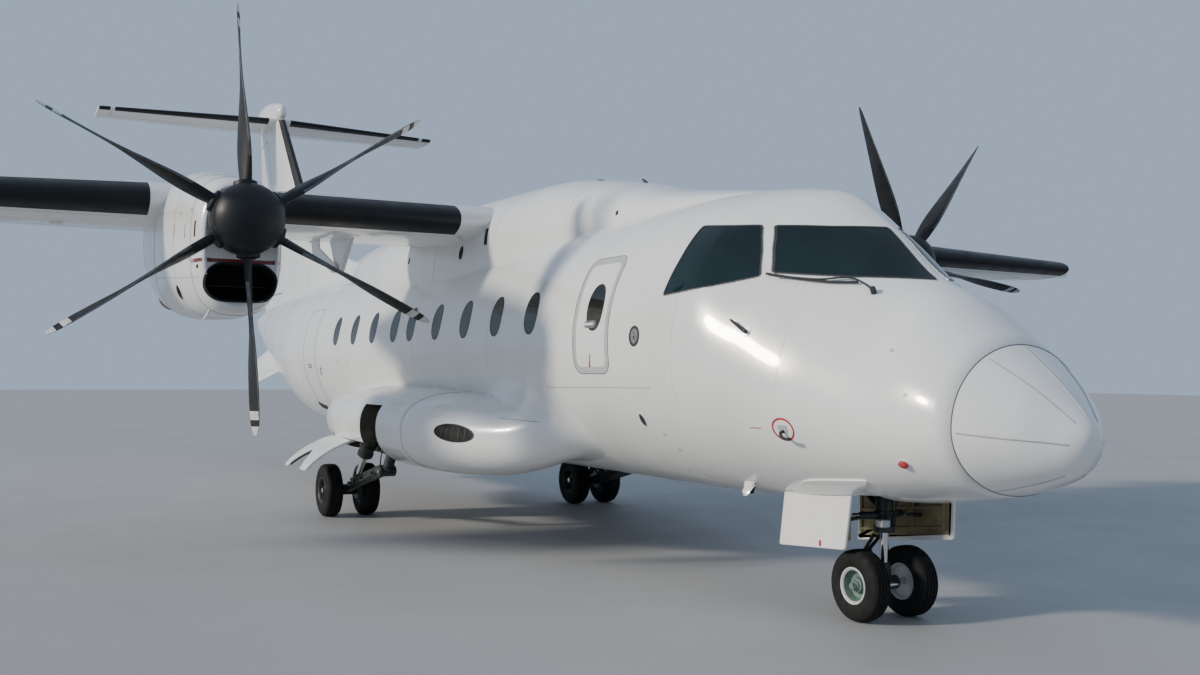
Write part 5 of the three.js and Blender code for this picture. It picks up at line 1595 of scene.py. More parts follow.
def make_gear_doors():
    arc = np.array(GEAR_DOOR_ARC, float)
    reach = reach_along(arc)
    total = reach[-1] - GEAR_DOOR["trim"]
    notch_start = total - GEAR_DOOR["deep"]
    stations = np.concatenate([np.linspace(0, notch_start, 15), np.linspace(notch_start, total, 9)[1:]])
    lines = cubic(reach, arc, np.gradient(arc, reach, axis=0), stations)
    ahead, behind = (np.column_stack([np.interp(stations + by, reach, column) for column in arc.T])
                     for by in (20, -20))
    way = (ahead - behind) / np.linalg.norm(ahead - behind, axis=1)[:, None]
    inner = lines - np.column_stack([-way[:, 1], way[:, 0]]) * GEAR_DOOR["thick"]
    front, rear = GEAR_DOOR["backs"]
    middle = sum(GEAR_DOOR["notch"]) / 2
    wide = (GEAR_DOOR["notch"][1] - GEAR_DOOR["notch"][0]) / 2
    backs = []
    for s in stations:
        share = np.clip((s - notch_start) / GEAR_DOOR["deep"], 0, 1)
        spread = 14 + (wide - 14) * share ** 0.85
        left, right = middle - spread - 30 * share, middle + spread
        corner = 16 * max(0.0, (s - (total - 60)) / 60) ** 2
        backs.append(np.concatenate([np.linspace(front + corner, left, 7), np.linspace(left, right, 5)[1:],
                                     np.linspace(right, rear - corner, 7)[1:]]))
    backs = np.array(backs)
    notched = [station >= notch_start - 1 for station in stations[:-1]]
    rows = [[not (is_open and 6 <= j < 10) for j in range(backs.shape[1] - 1)] for is_open in notched]
    for side_name, side in SIDES.items():
        top, under = (at(backs, side * flat[:, :1], flat[:, 1:]) for flat in (lines, inner))
        shell = Shell().add(sheet(top, under, rows))
        core = (top + under) / 2
        mouth = [i for i, is_open in enumerate(notched) if is_open]
        edge = [core[i][10] for i in reversed(mouth)] + [core[i][6] for i in mouth]
        shell.add(pipe(edge, 0.0145, 10), 2)
        for back in (9000, 9400, 9740):
            path = [at(back, side * y, z) for y, z in ((1230, 865), (1450, 868), (1640, 868))]
            shell.add(pipe(path, 0.011, 10), 1)
        shell.add(rod(at(9380, side * 1420, 872), at(9380, side * 1330, 1000), 0.016, 16), 1)
        piece = shell.piece(f"main_gear_door_sheet_{side_name}", [WHITE_PARTS, GEAR, SEAL], 28)
        dress(piece, "airframe", "white", f"main_gear_door_{side_name}")


def make_nose_gear(fuselage):
    x0 = NOSE_AXLE[0]
    shell = Shell()
    shell.add(rod(at(x0, 0, 600), at(x0, 0, 1149), 0.0615, 40, bevel=0.006))
    for z, r, tall in ((602, 0.074, 46), (720, 0.070, 30), (845, 0.078, 60), (1010, 0.070, 30)):
        shell.add(rod(at(x0, 0, z), at(x0, 0, z + tall), r, 40, bevel=0.005))
    shell.add(rod(at(x0 + 30, 0, 760), at(2500, 0, 1100), 0.027, 24))
    shell.add(block(at(2578, -60, 1040), at(2432, 60, 1149), 0.010))
    for way in (-1, 1):
        shell.add(rod(at(x0 - 10, way * 66, 720), at(x0 + 40, way * 190, 720), 0.026, 20))
        shell.add(rod(at(x0 + 32, way * 170, 720), at(x0 + 60, way * 240, 720), 0.017, 16), 1)
        shell.add(rod(at(x0, way * 70, 1080), at(x0, way * 230, 1080), 0.034, 20))
        shell.add(pipe([at(x0 - 55, way * 40, 1120), at(x0 - 80, way * 48, 960), at(x0 - 76, way * 42, 800),
                        at(x0 - 68, way * 30, 640)], 0.008, 10), 2)
    shell.add(block(at(x0 - 62, -50, 830), at(x0 - 112, 50, 985), 0.008))
    shell.add(block(at(x0 - 52, -128, 648), at(x0 - 122, -52, 700), 0.007), 3)
    shell.add(rod(at(x0 - 80, -70, 674), at(x0 - 30, 0, 674), 0.014, 14))
    piece = shell.piece("nose_leg_parts", [GEAR, STEEL, SEAL, RIM_WHITE])
    dress(piece, "airframe", "gear", "nose_leg")

    shell = Shell()
    shell.add(rod(at(x0, 0, 300), at(x0, 0, 779), 0.0295, 32), 1)
    shell.add(rod(at(x0, 0, 258), at(x0, 0, 392), 0.050, 32, 0.043, 0.006))
    shell.add(rod(at(x0, -109, 247.5), at(x0, 109, 247.5), 0.0475, 32, bevel=0.006))
    shell.add(rod(at(x0, -299, 247.5), at(x0, 299, 247.5), 0.0218, 24), 1)
    shell.add(block(at(x0 - 40, -34, 218), at(x0 - 95, 34, 277), 0.008))
    shell.add(rod(at(x0 - 86, -48, 247.5), at(x0 - 86, 48, 247.5), 0.015, 16), 1)
    upper, knee, lower = at(x0 + 70, 0, 575), at(x0 + 190, 0, 445), at(x0 + 60, 0, 320)
    for a, b in ((upper, knee), (knee, lower)):
        for way in (-1, 1):
            shell.add(rod(np.array(a) + [0, way * 0.034, 0], np.array(b) + [0, way * 0.018, 0], 0.013, 14))
    shell.add(rod(knee - [0, 0.045, 0], knee + [0, 0.045, 0], 0.016, 16), 1)
    shell.add(rod(lower - [0, 0.045, 0], lower + [0, 0.045, 0], 0.019, 16))
    shell.add(rod(lower, at(x0, 0, 320), 0.024, 16))
    piece = shell.piece("nose_fork_parts", [GEAR, STEEL])
    dress(piece, "nose_fork", "gear", "nose_fork")

    for name, (y, corners) in NOSE_DOORS.items():
        outline = rounded_polygon(side_view(corners), 0.022)
        way = 1 if y > 0 else -1
        near, far = y * MM, (y + way * NOSE_DOOR_THICK) * MM
        shell = Shell().add(plate(outline, "y", near, far, 0.004))
        pan = offset_outline(outline, -0.035)
        face = near
        (rear, rear_z), (front, front_z) = corners[2:]
        slope = (front_z - rear_z) / (rear - front)

        def foot_z(u):
            return rear_z * MM + (u - (DATUM_X - rear) * MM) * slope

        shell.add(plate(pan, "y", face, face - way * 0.003, 0.001), 1)
        low, high = pan.min(axis=0), pan.max(axis=0)
        for share in (0.05, 0.33, 0.62, 0.93):
            u = low[0] + (high[0] - low[0]) * share
            foot = foot_z(u) + 0.065
            low_end, high_end = (u - 0.012, face - way * 0.018, foot), (u + 0.012, face, high[1] - 0.09)
            shell.add(block(low_end, high_end, 0.003), 1)
        left, right = low[0] + 0.04, high[0] - 0.05
        for above in (0.075, 0.22):
            rail = [(left, foot_z(left) + above), (right, foot_z(right) + above)]
            rail = rounded_polygon([*rail, *[(u, v + 0.02) for u, v in rail[::-1]]], 0.003)
            shell.add(plate(rail, "y", face, face - way * 0.016, 0.002), 1)
        for back in (corners[0][0] + 150, corners[1][0] - 130):
            arm = [at(back, y - way * 4, 800), at(back, y - way * 40, 900), at(back, y - way * 45, 1000)]
            shell.add(pipe(arm, 0.014, 12), 2)
        if way < 0:
            mark = rounded_outline(((DATUM_X - 2215) * MM, 0.492), ((DATUM_X - 2190) * MM, 0.535), 0.002, 2)
            shell.add(plate(mark, "y", far - 0.0008, far + 0.001), 3)
        shell.add(rod(at(x0, y - way * 2, 700), at(x0, y - way * 130, 712), 0.013, 14), 2)
        piece = shell.piece(f"nose_gear_door_panel_{name}", [WHITE_PARTS, DOOR_PRIMER, GEAR, MARK_RED])
        dress(piece, "airframe", "white", f"nose_gear_door_{name}")

    flat = rounded_polygon(side_view(NOSE_DOOR_FAIRING), 0.09)
    cover = Shell().add(panel(fuselage, divided(flat, 0.03), "below", 0.012, 0.004, 8, 0.010))
    dress(cover.piece("nose_door_fairing", [WHITE_PARTS], 40), "airframe", "white")


# Seams and fasteners, made by node trees from the lines and spots laid on the skins
def new_tree(name, inputs):
    """A geometry node tree with named inputs, the identifier of each, and the inputs' sockets."""
    tree = bpy.data.node_groups.new(name, "GeometryNodeTree")
    tree.interface.new_socket("Geometry", in_out="INPUT", socket_type="NodeSocketGeometry")
    tree.interface.new_socket("Geometry", in_out="OUTPUT", socket_type="NodeSocketGeometry")
    keys = {}
    for label, kind in inputs:
        socket = tree.interface.new_socket(label, in_out="INPUT", socket_type="NodeSocket" + kind)
        keys[label] = socket.identifier
    return tree, keys, add_node(tree, "NodeGroupInput")


def end_tree(tree, start, made):
    """Realizes the instances, gives them the finish and ends the tree."""
    real = add_node(tree, "GeometryNodeRealizeInstances", {"Geometry": made})
    inputs = {"Geometry": real["Geometry"], "Material": start["Finish"]}
    finished = add_node(tree, "GeometryNodeSetMaterial", inputs)
    tree.links.new(finished["Geometry"], tree.nodes.new("NodeGroupOutput").inputs["Geometry"])


def seam_tree():
    tree, keys, start = new_tree("seam_lines", [
        ("Line Radius", "Float"), ("Line Sides", "Int"), ("Finish", "Material")])
    curve = add_node(tree, "GeometryNodeMeshToCurve", {"Mesh": start["Geometry"]})
    inputs = {"Radius": start["Line Radius"], "Resolution": start["Line Sides"]}
    circle = add_node(tree, "GeometryNodeCurvePrimitiveCircle", inputs)
    inputs = {"Curve": curve["Curve"], "Profile Curve": circle["Curve"], "Fill Caps": True}
    end_tree(tree, start, add_node(tree, "GeometryNodeCurveToMesh", inputs)["Mesh"])
    return tree, keys


def fastener_tree():
    tree, keys, start = new_tree("fasteners", [
        ("Head Radius", "Float"), ("Head Height", "Float"), ("Head Sides", "Int"),
        ("Size Spread", "Float"), ("Seed", "Int"), ("Finish", "Material")])
    radius = start["Head Radius"]
    top = add_node(tree, "ShaderNodeMath", {0: radius, 1: 0.72}, operation="MULTIPLY")[0]
    head = add_node(tree, "GeometryNodeMeshCone", {
        "Radius Bottom": radius, "Radius Top": top, "Depth": start["Head Height"],
        "Vertices": start["Head Sides"]})["Mesh"]
    facing = add_node(tree, "GeometryNodeInputNamedAttribute", {"Name": "facing"},
                      data_type="FLOAT_VECTOR")["Attribute"]
    turn = add_node(tree, "FunctionNodeAlignRotationToVector", {"Vector": facing}, axis="Z")["Rotation"]
    least = add_node(tree, "ShaderNodeMath", {0: 1.0, 1: start["Size Spread"]}, operation="SUBTRACT")[0]
    size = add_node(tree, "FunctionNodeRandomValue", {2: least, 3: 1.0, "Seed": start["Seed"]},
                    data_type="FLOAT")[1]
    inputs = {"Points": start["Geometry"], "Instance": head, "Rotation": turn, "Scale": size}
    end_tree(tree, start, add_node(tree, "GeometryNodeInstanceOnPoints", inputs)["Instances"])
    return tree, keys


def grown_by(tree, keys, name, body, mesh, values):
    """Runs a tree on a mesh and dresses what it makes as a plain mesh."""
    piece = placed(name, mesh)
    modifier = piece.modifiers.new("nodes", "NODES")
    modifier.node_group = tree
    for label, value in values.items():
        modifier[keys[label]] = value
    kept_mesh(piece)
    dress(piece, body, "white")
    return piece.data


class Trim:
    """Gathers the seams and the fasteners of all bodies before their trees run."""

    def __init__(self):
        self.lines, self.spots = {}, {}

    def line(self, points, body="airframe", radius=0.0022, finish=LINE_GREY, closed=False):
        self.lines.setdefault((body, radius, finish), []).append((np.asarray(points), closed))

    def laid(self, skin, flat, view, radius=0.0022, closed=False, most=0.04):
        """A line of a view laid on a skin."""
        flat = np.asarray(flat, float)
        if closed:
            path = divided(flat, most)
        else:
            steps = [np.linspace(a, b, max(2, math.ceil(np.linalg.norm(b - a) / most) + 1))[:-1]
                     for a, b in zip(flat[:-1], flat[1:])]
            path = np.concatenate([*steps, flat[-1:]])
        self.line(skin.lay(path, view)[0], radius=radius, closed=closed)

    def spot(self, points, normals, body):
        self.spots.setdefault(body, []).append((points, normals))

    def row(self, skin, flat, view, pitch, body="airframe", closed=False):
        """Fasteners at a pitch along a line of a view."""
        flat = np.asarray(flat, float)
        path = spaced(np.concatenate([flat, flat[:1]]), pitch)[:-1] if closed else spaced(flat, pitch)
        self.spot(*skin.lay(path, view), body)

    def round(self, skin, ring, pitch):
        """Fasteners at a pitch along a closed ring that lies on a skin."""
        path = spaced(np.concatenate([ring, ring[:1]]), pitch)
        spots, normals = zip(*(skin.nearest(point) for point in path))
        self.spot(np.array(spots), np.array(normals), "airframe")

    def make(self):
        tree, keys = seam_tree()
        for index, ((body, radius, finish), lines) in enumerate(self.lines.items()):
            points, edges, start = [], [], 0
            for path, closed in lines:
                count = len(path)
                points += path.tolist()
                edges += [(start + i, start + i + 1) for i in range(count - 1)]
                if closed:
                    edges.append((start + count - 1, start))
                start += count
            name = f"seams_{body}_{index:02d}"
            mesh = bpy.data.meshes.new(name + "_lines")
            mesh.from_pydata(points, edges, [])
            values = {"Line Radius": radius, "Line Sides": 6, "Finish": finish}
            grown_by(tree, keys, name, body, mesh, values).shade_smooth()
        tree, keys = fastener_tree()
        for index, (body, sets) in enumerate(self.spots.items()):
            points, normals = (np.concatenate(column) for column in zip(*sets))
            name = f"fasteners_{body}_{index:02d}"
            mesh = bpy.data.meshes.new(name + "_spots")
            mesh.from_pydata(points.tolist(), [], [])
            facing = mesh.attributes.new("facing", "FLOAT_VECTOR", "POINT")
            facing.data.foreach_set("vector", normals.astype(np.float32).ravel())
            values = {"Head Radius": 0.004, "Head Height": 0.0016, "Head Sides": 8, "Size Spread": 0.12,
                      "Seed": 7, "Finish": FASTENER}
            grown_by(tree, keys, name, body, mesh, values).shade_flat()

# Wipers. Columns: back, y, height
WIPER_ARM = [(1584, 429, 2256), (1730, 452, 2330), (1949, 609, 2356), (2225, 755, 2389)]
WIPER_BLADE = [(2290, 800, 2420), (2060, 700, 2385), (1830, 560, 2340), (1690, 470, 2330)]


def make_fuselage_details(skin, trim):
    shell = Shell()
    dark, red, grey = Shell(), Shell(), Shell()
    ring = fuselage_rings([RADOME_BACK], 0.4, 160)[0]
    trim.line(ring, radius=0.0035, closed=True)
    trim.round(skin, fuselage_rings([RADOME_BACK + 26], 0.0, 160)[0], 0.075)
    trim.line(fuselage_rings([20905], 0.4, 96)[0], radius=0.003, closed=True)
    for view in ("starboard", "port"):
        trim.laid(skin, side_view([(5460, 1562), (3254, 1585)]), view)
        trim.laid(skin, side_view([(5460, 1562), (5460, 1300)]), view, radius=0.0014)
        for z in (1730, 2560):
            trim.laid(skin, side_view([(11500, z), (12640, z)]), view, radius=0.0012)
        for back in (2960, 6200, 8300, 10200, 12350, 15100, 16600, 18200):
            low, high = (1420, 2900) if back < 13000 else (2000, 2900)
            trim.laid(skin, side_view([(back, low), (back, high)]), view, radius=0.0009)
        trim.laid(skin, side_view([(12400, 1840), (15100, 2080), (18200, 2350)]), view, radius=0.0009)
        plate_flat = oval(side_view([(3405, 1978)])[0], 0.046, 0.058, count=40)
        shell.add(panel(skin, plate_flat, view, 0.002, 0.003, 3), 1)
        dark.add(band(skin, plate_flat, view, 0.022, 0.003, 0.002))
        # The port hole and the vent are flat dark patches on the skin: painted shade of their openings.
        hole = oval(side_point(3405, 1970), 0.008, 0.010, count=20)
        dark.add(panel(skin, hole, view, 0.004, 0.002, 2))
        vent = oval(side_view([(3525, 1334)])[0], 0.034, 0.048, count=32)
        dark.add(panel(skin, vent, view, 0.001, 0.004, 3))
        shell.add(band(skin, vent, view, 0.006, 0.003, 0.002))
        centre = side_view([(2012, 1326)])[0]
        red.add(band(skin, oval(centre, 0.080, 0.064, count=64), view, 0.014, 0.0012, 0.002))
        u, v = centre
        square = rounded_outline((u - 0.040, v - 0.024), (u + 0.034, v + 0.030), 0.006)
        grey.add(panel(skin, divided(square, 0.02), view, 0.004, 0.003, 2))
        spots, normals = skin.lay([(u, v - 0.012), (u + 0.03, v - 0.028)], view)
        tube = spots[1] + normals[1] * 0.060
        stem = [spots[0] - normals[0] * 0.004, spots[0] + normals[0] * 0.035, tube, tube + [0.075, 0, -0.008]]
        dark.add(pipe(stem, 0.011, 12))
        cap = side_view([(1102, 1151)])[0]
        shell.add(panel(skin, oval(cap, 0.042, 0.028, count=32), view, 0.006, 0.003, 3))
        button = oval((cap[0], cap[1] + 0.004), 0.032, 0.019, count=32)
        red.add(panel(skin, button, view, 0.022, 0.003, 5, 0.010))
        bar = rounded_outline((u - 0.29, v - 0.003), (u - 0.19, v + 0.003), 0.001, 2)
        red.add(panel(skin, divided(bar, 0.03), view, 0.001, 0.002, 1))
        for back, z in ((10996, 2260), (11301, 1813), (10843, 1811), (6527, 1833)):
            flat = box_outline(side_point(back, z), 0.022, 0.007, 0.002, 2)
            (red if back > 10000 else grey).add(panel(skin, flat, view, 0.0012, 0.002, 1))
        sill = rounded_polygon(side_view([(12736, 1095), (13166, 1156), (13150, 1240), (12760, 1190)]), 0.012)
        dark.add(panel(skin, divided(sill, 0.04), view, 0.003, 0.003, 4))
        handle = box_outline(side_point(12165, 1691), 0.020, 0.055, 0.012)
        dark.add(panel(skin, handle, view, 0.002, 0.003, 2))
        spots, normals = skin.lay(side_view([(2329, 1986), (2448, 2066)]), view)
        foot, out, tip = spots[0], normals[0], spots[1] + normals[1] * 0.042
        dark.add(rod(foot - out * 0.010, foot + out * 0.040, 0.013, 20))
        bezel = oval(side_point(2329, 1986), 0.034, 0.034, count=32)
        shell.add(panel(skin, bezel, view, 0.005, 0.003, 3))
        root = foot + out * 0.032
        across = np.cross((tip - root) / np.linalg.norm(tip - root), out)
        vane = []
        for share, wide, thick in ((-0.06, 0.010, 0.004), (0.0, 0.014, 0.006), (0.85, 0.010, 0.003),
                                   (1.0, 0.006, 0.002)):
            middle = root + (tip - root) * share
            vane.append([middle + across * wide, middle + out * thick, middle - across * wide,
                         middle - out * thick])
        dark.add(skinned(vane))
        for back, z in ((1225, 1850), (1034, 1576), (3270, 1113), (3454, 941), (3330, 1230)):
            flat = oval(side_point(back, z), 0.016, 0.012, count=20)
            grey.add(panel(skin, flat, view, 0.0015, 0.002, 2))

    # A blade antenna and a drain, low on the starboard side
    (spot, base), (normal, drain_out) = skin.lay(side_view([(2747, 894), (2930, 850)]), "starboard")
    blade = []
    for share, long in ((0.0, 1.0), (0.5, 0.8), (0.92, 0.55), (1.0, 0.4)):
        front = spot + normal * 0.11 * share - [0.07 * share, 0, 0]
        rear = front + (spot + [-0.16, 0, -0.004] + normal * 0.11 * share - front) * long
        across = np.cross(rear - front, normal)
        across = across / np.linalg.norm(across) * 0.009
        middle = front * 0.7 + rear * 0.3
        blade.append([front, middle + across, rear, middle - across])
    shell.add(skinned(blade))
    dark.add(rod(base - drain_out * 0.01, base + drain_out * 0.05, 0.03, 20))

    # Wipers, one on each windshield
    for side in (-1, 1):
        for points, out, radius, sides in ((WIPER_ARM, 0.030, 0.007, 10), (WIPER_BLADE, 0.020, 0.009, 8)):
            path = [skin.above(at(back, side * y, z), out) for back, y, z in points]
            dark.add(pipe(path, radius, sides))
        back, y, z = WIPER_ARM[0]
        spot, out = skin.nearest(at(back, side * y, z))
        dark.add(rod(spot - out * 0.01, spot + out * 0.045, 0.020, 20))
    for item, name, finishes in (
            (shell, "probes_and_bezels", [WHITE_PARTS, BARE_METAL]), (dark, "dark_fittings", [SEAL]),
            (red, "red_marks", [MARK_RED]), (grey, "small_plates", [DOOR_GREY])):
        dress(item.piece(name, finishes), "airframe", "white")


# Raised strips on the radome. Each runs from one point to another: back, y, height
DIVERTERS = [((704, 301, 1796), (262, 95, 1430)), ((704, 576, 1359), (268, 140, 1304)),
             ((704, 0, 1895), (262, 0, 1462)), ((704, 250, 960), (330, 90, 1118))]


def make_diverters(radome):
    shell = Shell()
    for start, end in DIVERTERS:
        for side in (-1, 1) if start[1] else (1,):
            path = []
            for share in np.linspace(0, 1, 24):
                back, y, z = slanted(start, end, share)
                path.append(radome.above(at(back, side * y, z), 0.0012))
            shell.add(skinned(rings_along(path, 0.0042, 8)))
    dress(shell.piece("lightning_strips", [DOOR_GREY]), "airframe", "white")


def make_door_marks(skin, trim):
    """The grey band round the service door, its arrow, and the gaps and fasteners of all the doors."""
    view, backs, zs, radius, *_ = DOORS["service_door"]
    outline = side_outline(backs, zs, radius)
    ring = Shell().add(band(skin, offset_outline(outline, -0.004), view, -0.050, 0.0009, 0.001))
    dress(ring.piece("service_door_band", [DOOR_GREY]), "airframe", "white")
    for name, (view, backs, zs, radius, _, gap, hinge_z) in DOORS.items():
        outline = side_outline(backs, zs, radius)
        gap_ring = divided(offset_outline(outline, gap * MM / 2), 0.04)
        spots, normals = skin.lay(gap_ring, view)
        trim.line(spots - normals * 0.0018, radius=0.0042, finish=SEAL, closed=True)
        body = name if hinge_z else "airframe"
        trim.row(skin, divided(offset_outline(outline, -0.045), 0.05), view, 0.09, body, closed=True)
    red = Shell()
    u, v = side_view([(4110, 1799)])[0]
    arrow = [(u - 0.018, v - 0.050), (u + 0.004, v - 0.052), (u + 0.032, v + 0.050), (u + 0.020, v + 0.052)]
    red.add(panel(skin, divided(np.array(arrow), 0.02), "starboard", 0.0012, 0.002, 1))
    head = [(u - 0.022, v - 0.060), (u + 0.016, v - 0.056), (u - 0.002, v - 0.024)]
    red.add(panel(skin, np.array(head), "starboard", 0.0016, 0.002, 1))
    dress(red.piece("door_arrow", [MARK_RED]), "airframe", "white")


def make_hump_details(skin, trim):
    for view in ("starboard", "port"):
        for back, low, high in ((6800, 2860, 3560), (5480, 2990, 3480), (4300, 3060, 3290),
                                (8330, 2720, 3060), (10600, 2760, 3520), (12100, 2930, 3450)):
            trim.laid(skin, side_view([(back, low), (back, high)]), view, radius=0.0016)
        # The slot, hole, port and vent are flat dark patches on the skin: painted shade of their openings.
        slot = rounded_polygon(side_view([(6935, 3010), (7010, 3010), (7060, 3190), (6990, 3190)]), 0.010)
        hole = rounded_outline(*side_view([(4725, 3085), (4690, 3125)]), 0.010)
        dark = Shell().add(panel(skin, divided(slot, 0.03), view, 0.0015, 0.004, 4))
        dark.add(panel(skin, hole, view, 0.0015, 0.004, 2))
        port = oval(side_view([(7560, 2975)])[0], 0.055, 0.075, count=40)
        dark.add(panel(skin, port, view, 0.001, 0.004, 4))
        flat = rounded_outline(*side_view([(9250, 2980), (9200, 3050)]), 0.012)
        dark.add(panel(skin, flat, view, 0.001, 0.004, 2))
        dress(dark.piece(f"fairing_vents_{view}", [SOOT_AND_SHADE]), "airframe", "boot")
        rims = Shell().add(band(skin, port, view, 0.008, 0.003, 0.002))
        rims.add(band(skin, divided(slot, 0.03), view, 0.005, 0.002, 0.002))
        dress(rims.piece(f"fairing_vent_rims_{view}", [WHITE_PARTS]), "airframe", "white")
        edge = [(back, float(np.interp(back, np.array(HUMP)[:, 0], np.array(HUMP)[:, 1])) + 62)
                for back in np.arange(3300, 13300, 250)]
        trim.row(skin, side_view(edge), view, 0.11)
    antennas = Shell().add(blade_antenna(skin, (5245, 0), "top", 0.045, 0.055, 0.016, (-0.06, -0.07)))
    base, _ = skin.lay_point(side_point(6150, 0), "top")
    puck = [(0, -0.01), (0.045, -0.01), (0.045, 0.008), (0.036, 0.018), (0, 0.020)]
    antennas.add(turned(puck, "z", base, 32))
    dress(antennas.piece("crown_antennas", [SEAL]), "airframe", "boot")


def blade_antenna(skin, place, view, tall, long, half, shifts):
    """A swept blade above or below a skin, at a place of back and y. Long is along the body."""
    foot, _ = skin.lay_point(side_point(*place), view)
    up = 1 if view == "top" else -1
    rings = []
    for share, size, shift in ((-0.05, 1.0, 0.0), (0.0, 1.0, 0.0), (0.5, 0.85, -0.03), (0.9, 0.62, shifts[0]),
                               (1.0, 0.40, shifts[1])):
        flat = oval((foot[0] + shift, foot[1]), long / 2 * size, half * size, count=24)
        rings.append(raised(flat, foot[2] + up * tall * share))
    return skinned(rings)


def nacelle_ring(back, side):
    return round_rings(NACELLE, [back], NACELLE_BEND, side * PROP_Y, 160)[0]


def make_nacelle_details(skins, trim):
    for side_name, side in SIDES.items():
        skin = skins[side_name]
        for back, radius in ((COWL_SEAM_BACK, 0.0024), (6565, 0.0014), (7420, 0.0016), (8700, 0.0012)):
            trim.line(nacelle_ring(back, side), radius=radius, closed=True)
            if back == 7420:
                trim.round(skin, nacelle_ring(back + 28, side), 0.08)
        outer = VIEW_OF[side]
        inner = outer + "_inside"
        dark, rims = Shell(), Shell()
        for view in (outer, inner):
            trim.laid(skin, side_view([(5866, 2472), (6565, 2505), (7420, 2560)]), view, radius=0.0018)
            trim.laid(skin, side_view([(6565, 3100), (7420, 3140)]), view, radius=0.0014)
            trim.row(skin, side_view([(5900, 2500), (6540, 2532)]), view, 0.085)
            trim.row(skin, side_view([(5900, 2448), (6540, 2478)]), view, 0.085)
            # The cowl slots are flat dark patches on the skin: painted shade of their openings.
            for back, low, high, wide in ((6557, 2865, 2985, 14), (6234, 2825, 2945, 12),
                                          (5972, 2815, 2955, 34)):
                ends = side_view([(back + wide / 2, low), (back - wide / 2, high)])
                flat = rounded_outline(*ends, wide * MM * 0.4)
                dark.add(panel(skin, divided(flat, 0.03), view, 0.001, 0.003, 2))
            flat = rounded_outline(*side_view([(5937, 2548), (5893, 2580)]), 0.006)
            dark.add(panel(skin, flat, view, 0.0012, 0.003, 2))
            for back, z in ((6100, 3060), (6100, 2640), (6400, 3060), (6400, 2640)):
                flat = box_outline(side_point(back, z), 0.038, 0.014, 0.010)
                rims.add(panel(skin, flat, view, 0.0022, 0.003, 2), 1)
        ports = oval(side_view([(6560, 2379)])[0], 0.060, 0.065, count=32)
        rims.add(band(skin, ports, outer, 0.008, 0.003, 0.002))
        foot, out = skin.lay_point(side_point(6144, side * (PROP_Y + 200)), "below")
        drain = [foot - out * 0.01, foot + out * 0.05, foot + out * 0.075 + [-0.05, 0, 0]]
        rims.add(pipe(drain, 0.012, 12))
        dress(dark.piece(f"nacelle_slots_{side_name}", [SOOT_AND_SHADE]), "airframe", "boot")
        dress(rims.piece(f"nacelle_fittings_{side_name}", [WHITE_PARTS, DOOR_GREY]), "airframe", "white")


def make_pod_details(skins, fronts, trim):
    for side_name, side in SIDES.items():
        skin, front = skins[side_name], fronts[side_name]
        view = VIEW_OF[side]
        for back, radius in ((POD_SEAM, 0.0018), (10110, 0.0015), (11300, 0.0014)):
            trim.line(pod_rings([back], side, 160)[0], radius=radius, closed=True)
        trim.round(skin, pod_rings([POD_SEAM + 28], side, 160)[0], 0.075)
        trim.line(pod_rings([7635], side, 160)[0][-20:], radius=0.0012)
        trim.laid(front, side_view([(5519, 1281), (5107, 1258)]), view, radius=0.0024)
        middle = side_view([(5960, 1128)])[0]
        mouth = oval((0, 0), 0.245, 0.072, count=64)
        turn = 0.068
        mouth = np.column_stack([mouth[:, 0] * math.cos(turn) + mouth[:, 1] * math.sin(turn),
                                 -mouth[:, 0] * math.sin(turn) + mouth[:, 1] * math.cos(turn)]) + middle
        # The inlet's mouth is a flat dark oval on the skin: painted shade of its opening.
        inlet = Shell().add(panel(front, mouth, view, 0.0012, 0.004, 4))
        inlet.add(band(front, mouth, view, 0.010, 0.005, 0.003), 1)
        for k in range(-2, 3):
            half_v = 0.060 - 0.010 * abs(k)
            bar = box_outline(middle + np.array([k * 0.075, 0]), 0.004, half_v, 0.003, 2)
            inlet.add(panel(front, divided(bar, 0.02), view, 0.003, 0.002, 1), 2)
        dress(inlet.piece(f"pod_inlet_{side_name}", [SOOT_AND_SHADE, PROP_BLACK, SEAL]), "airframe", "boot")
        for back, z in ((6300, 1320), (7200, 1330), (10600, 1240)):
            flat = rounded_outline(*side_view([(back + 90, z - 50), (back - 90, z + 50)]), 0.03)
            ground = front if back < POD_SEAM else skin
            trim.laid(ground, flat, view, radius=0.0010, closed=True)
            trim.row(ground, offset_outline(flat, -0.015), view, 0.05, closed=True)


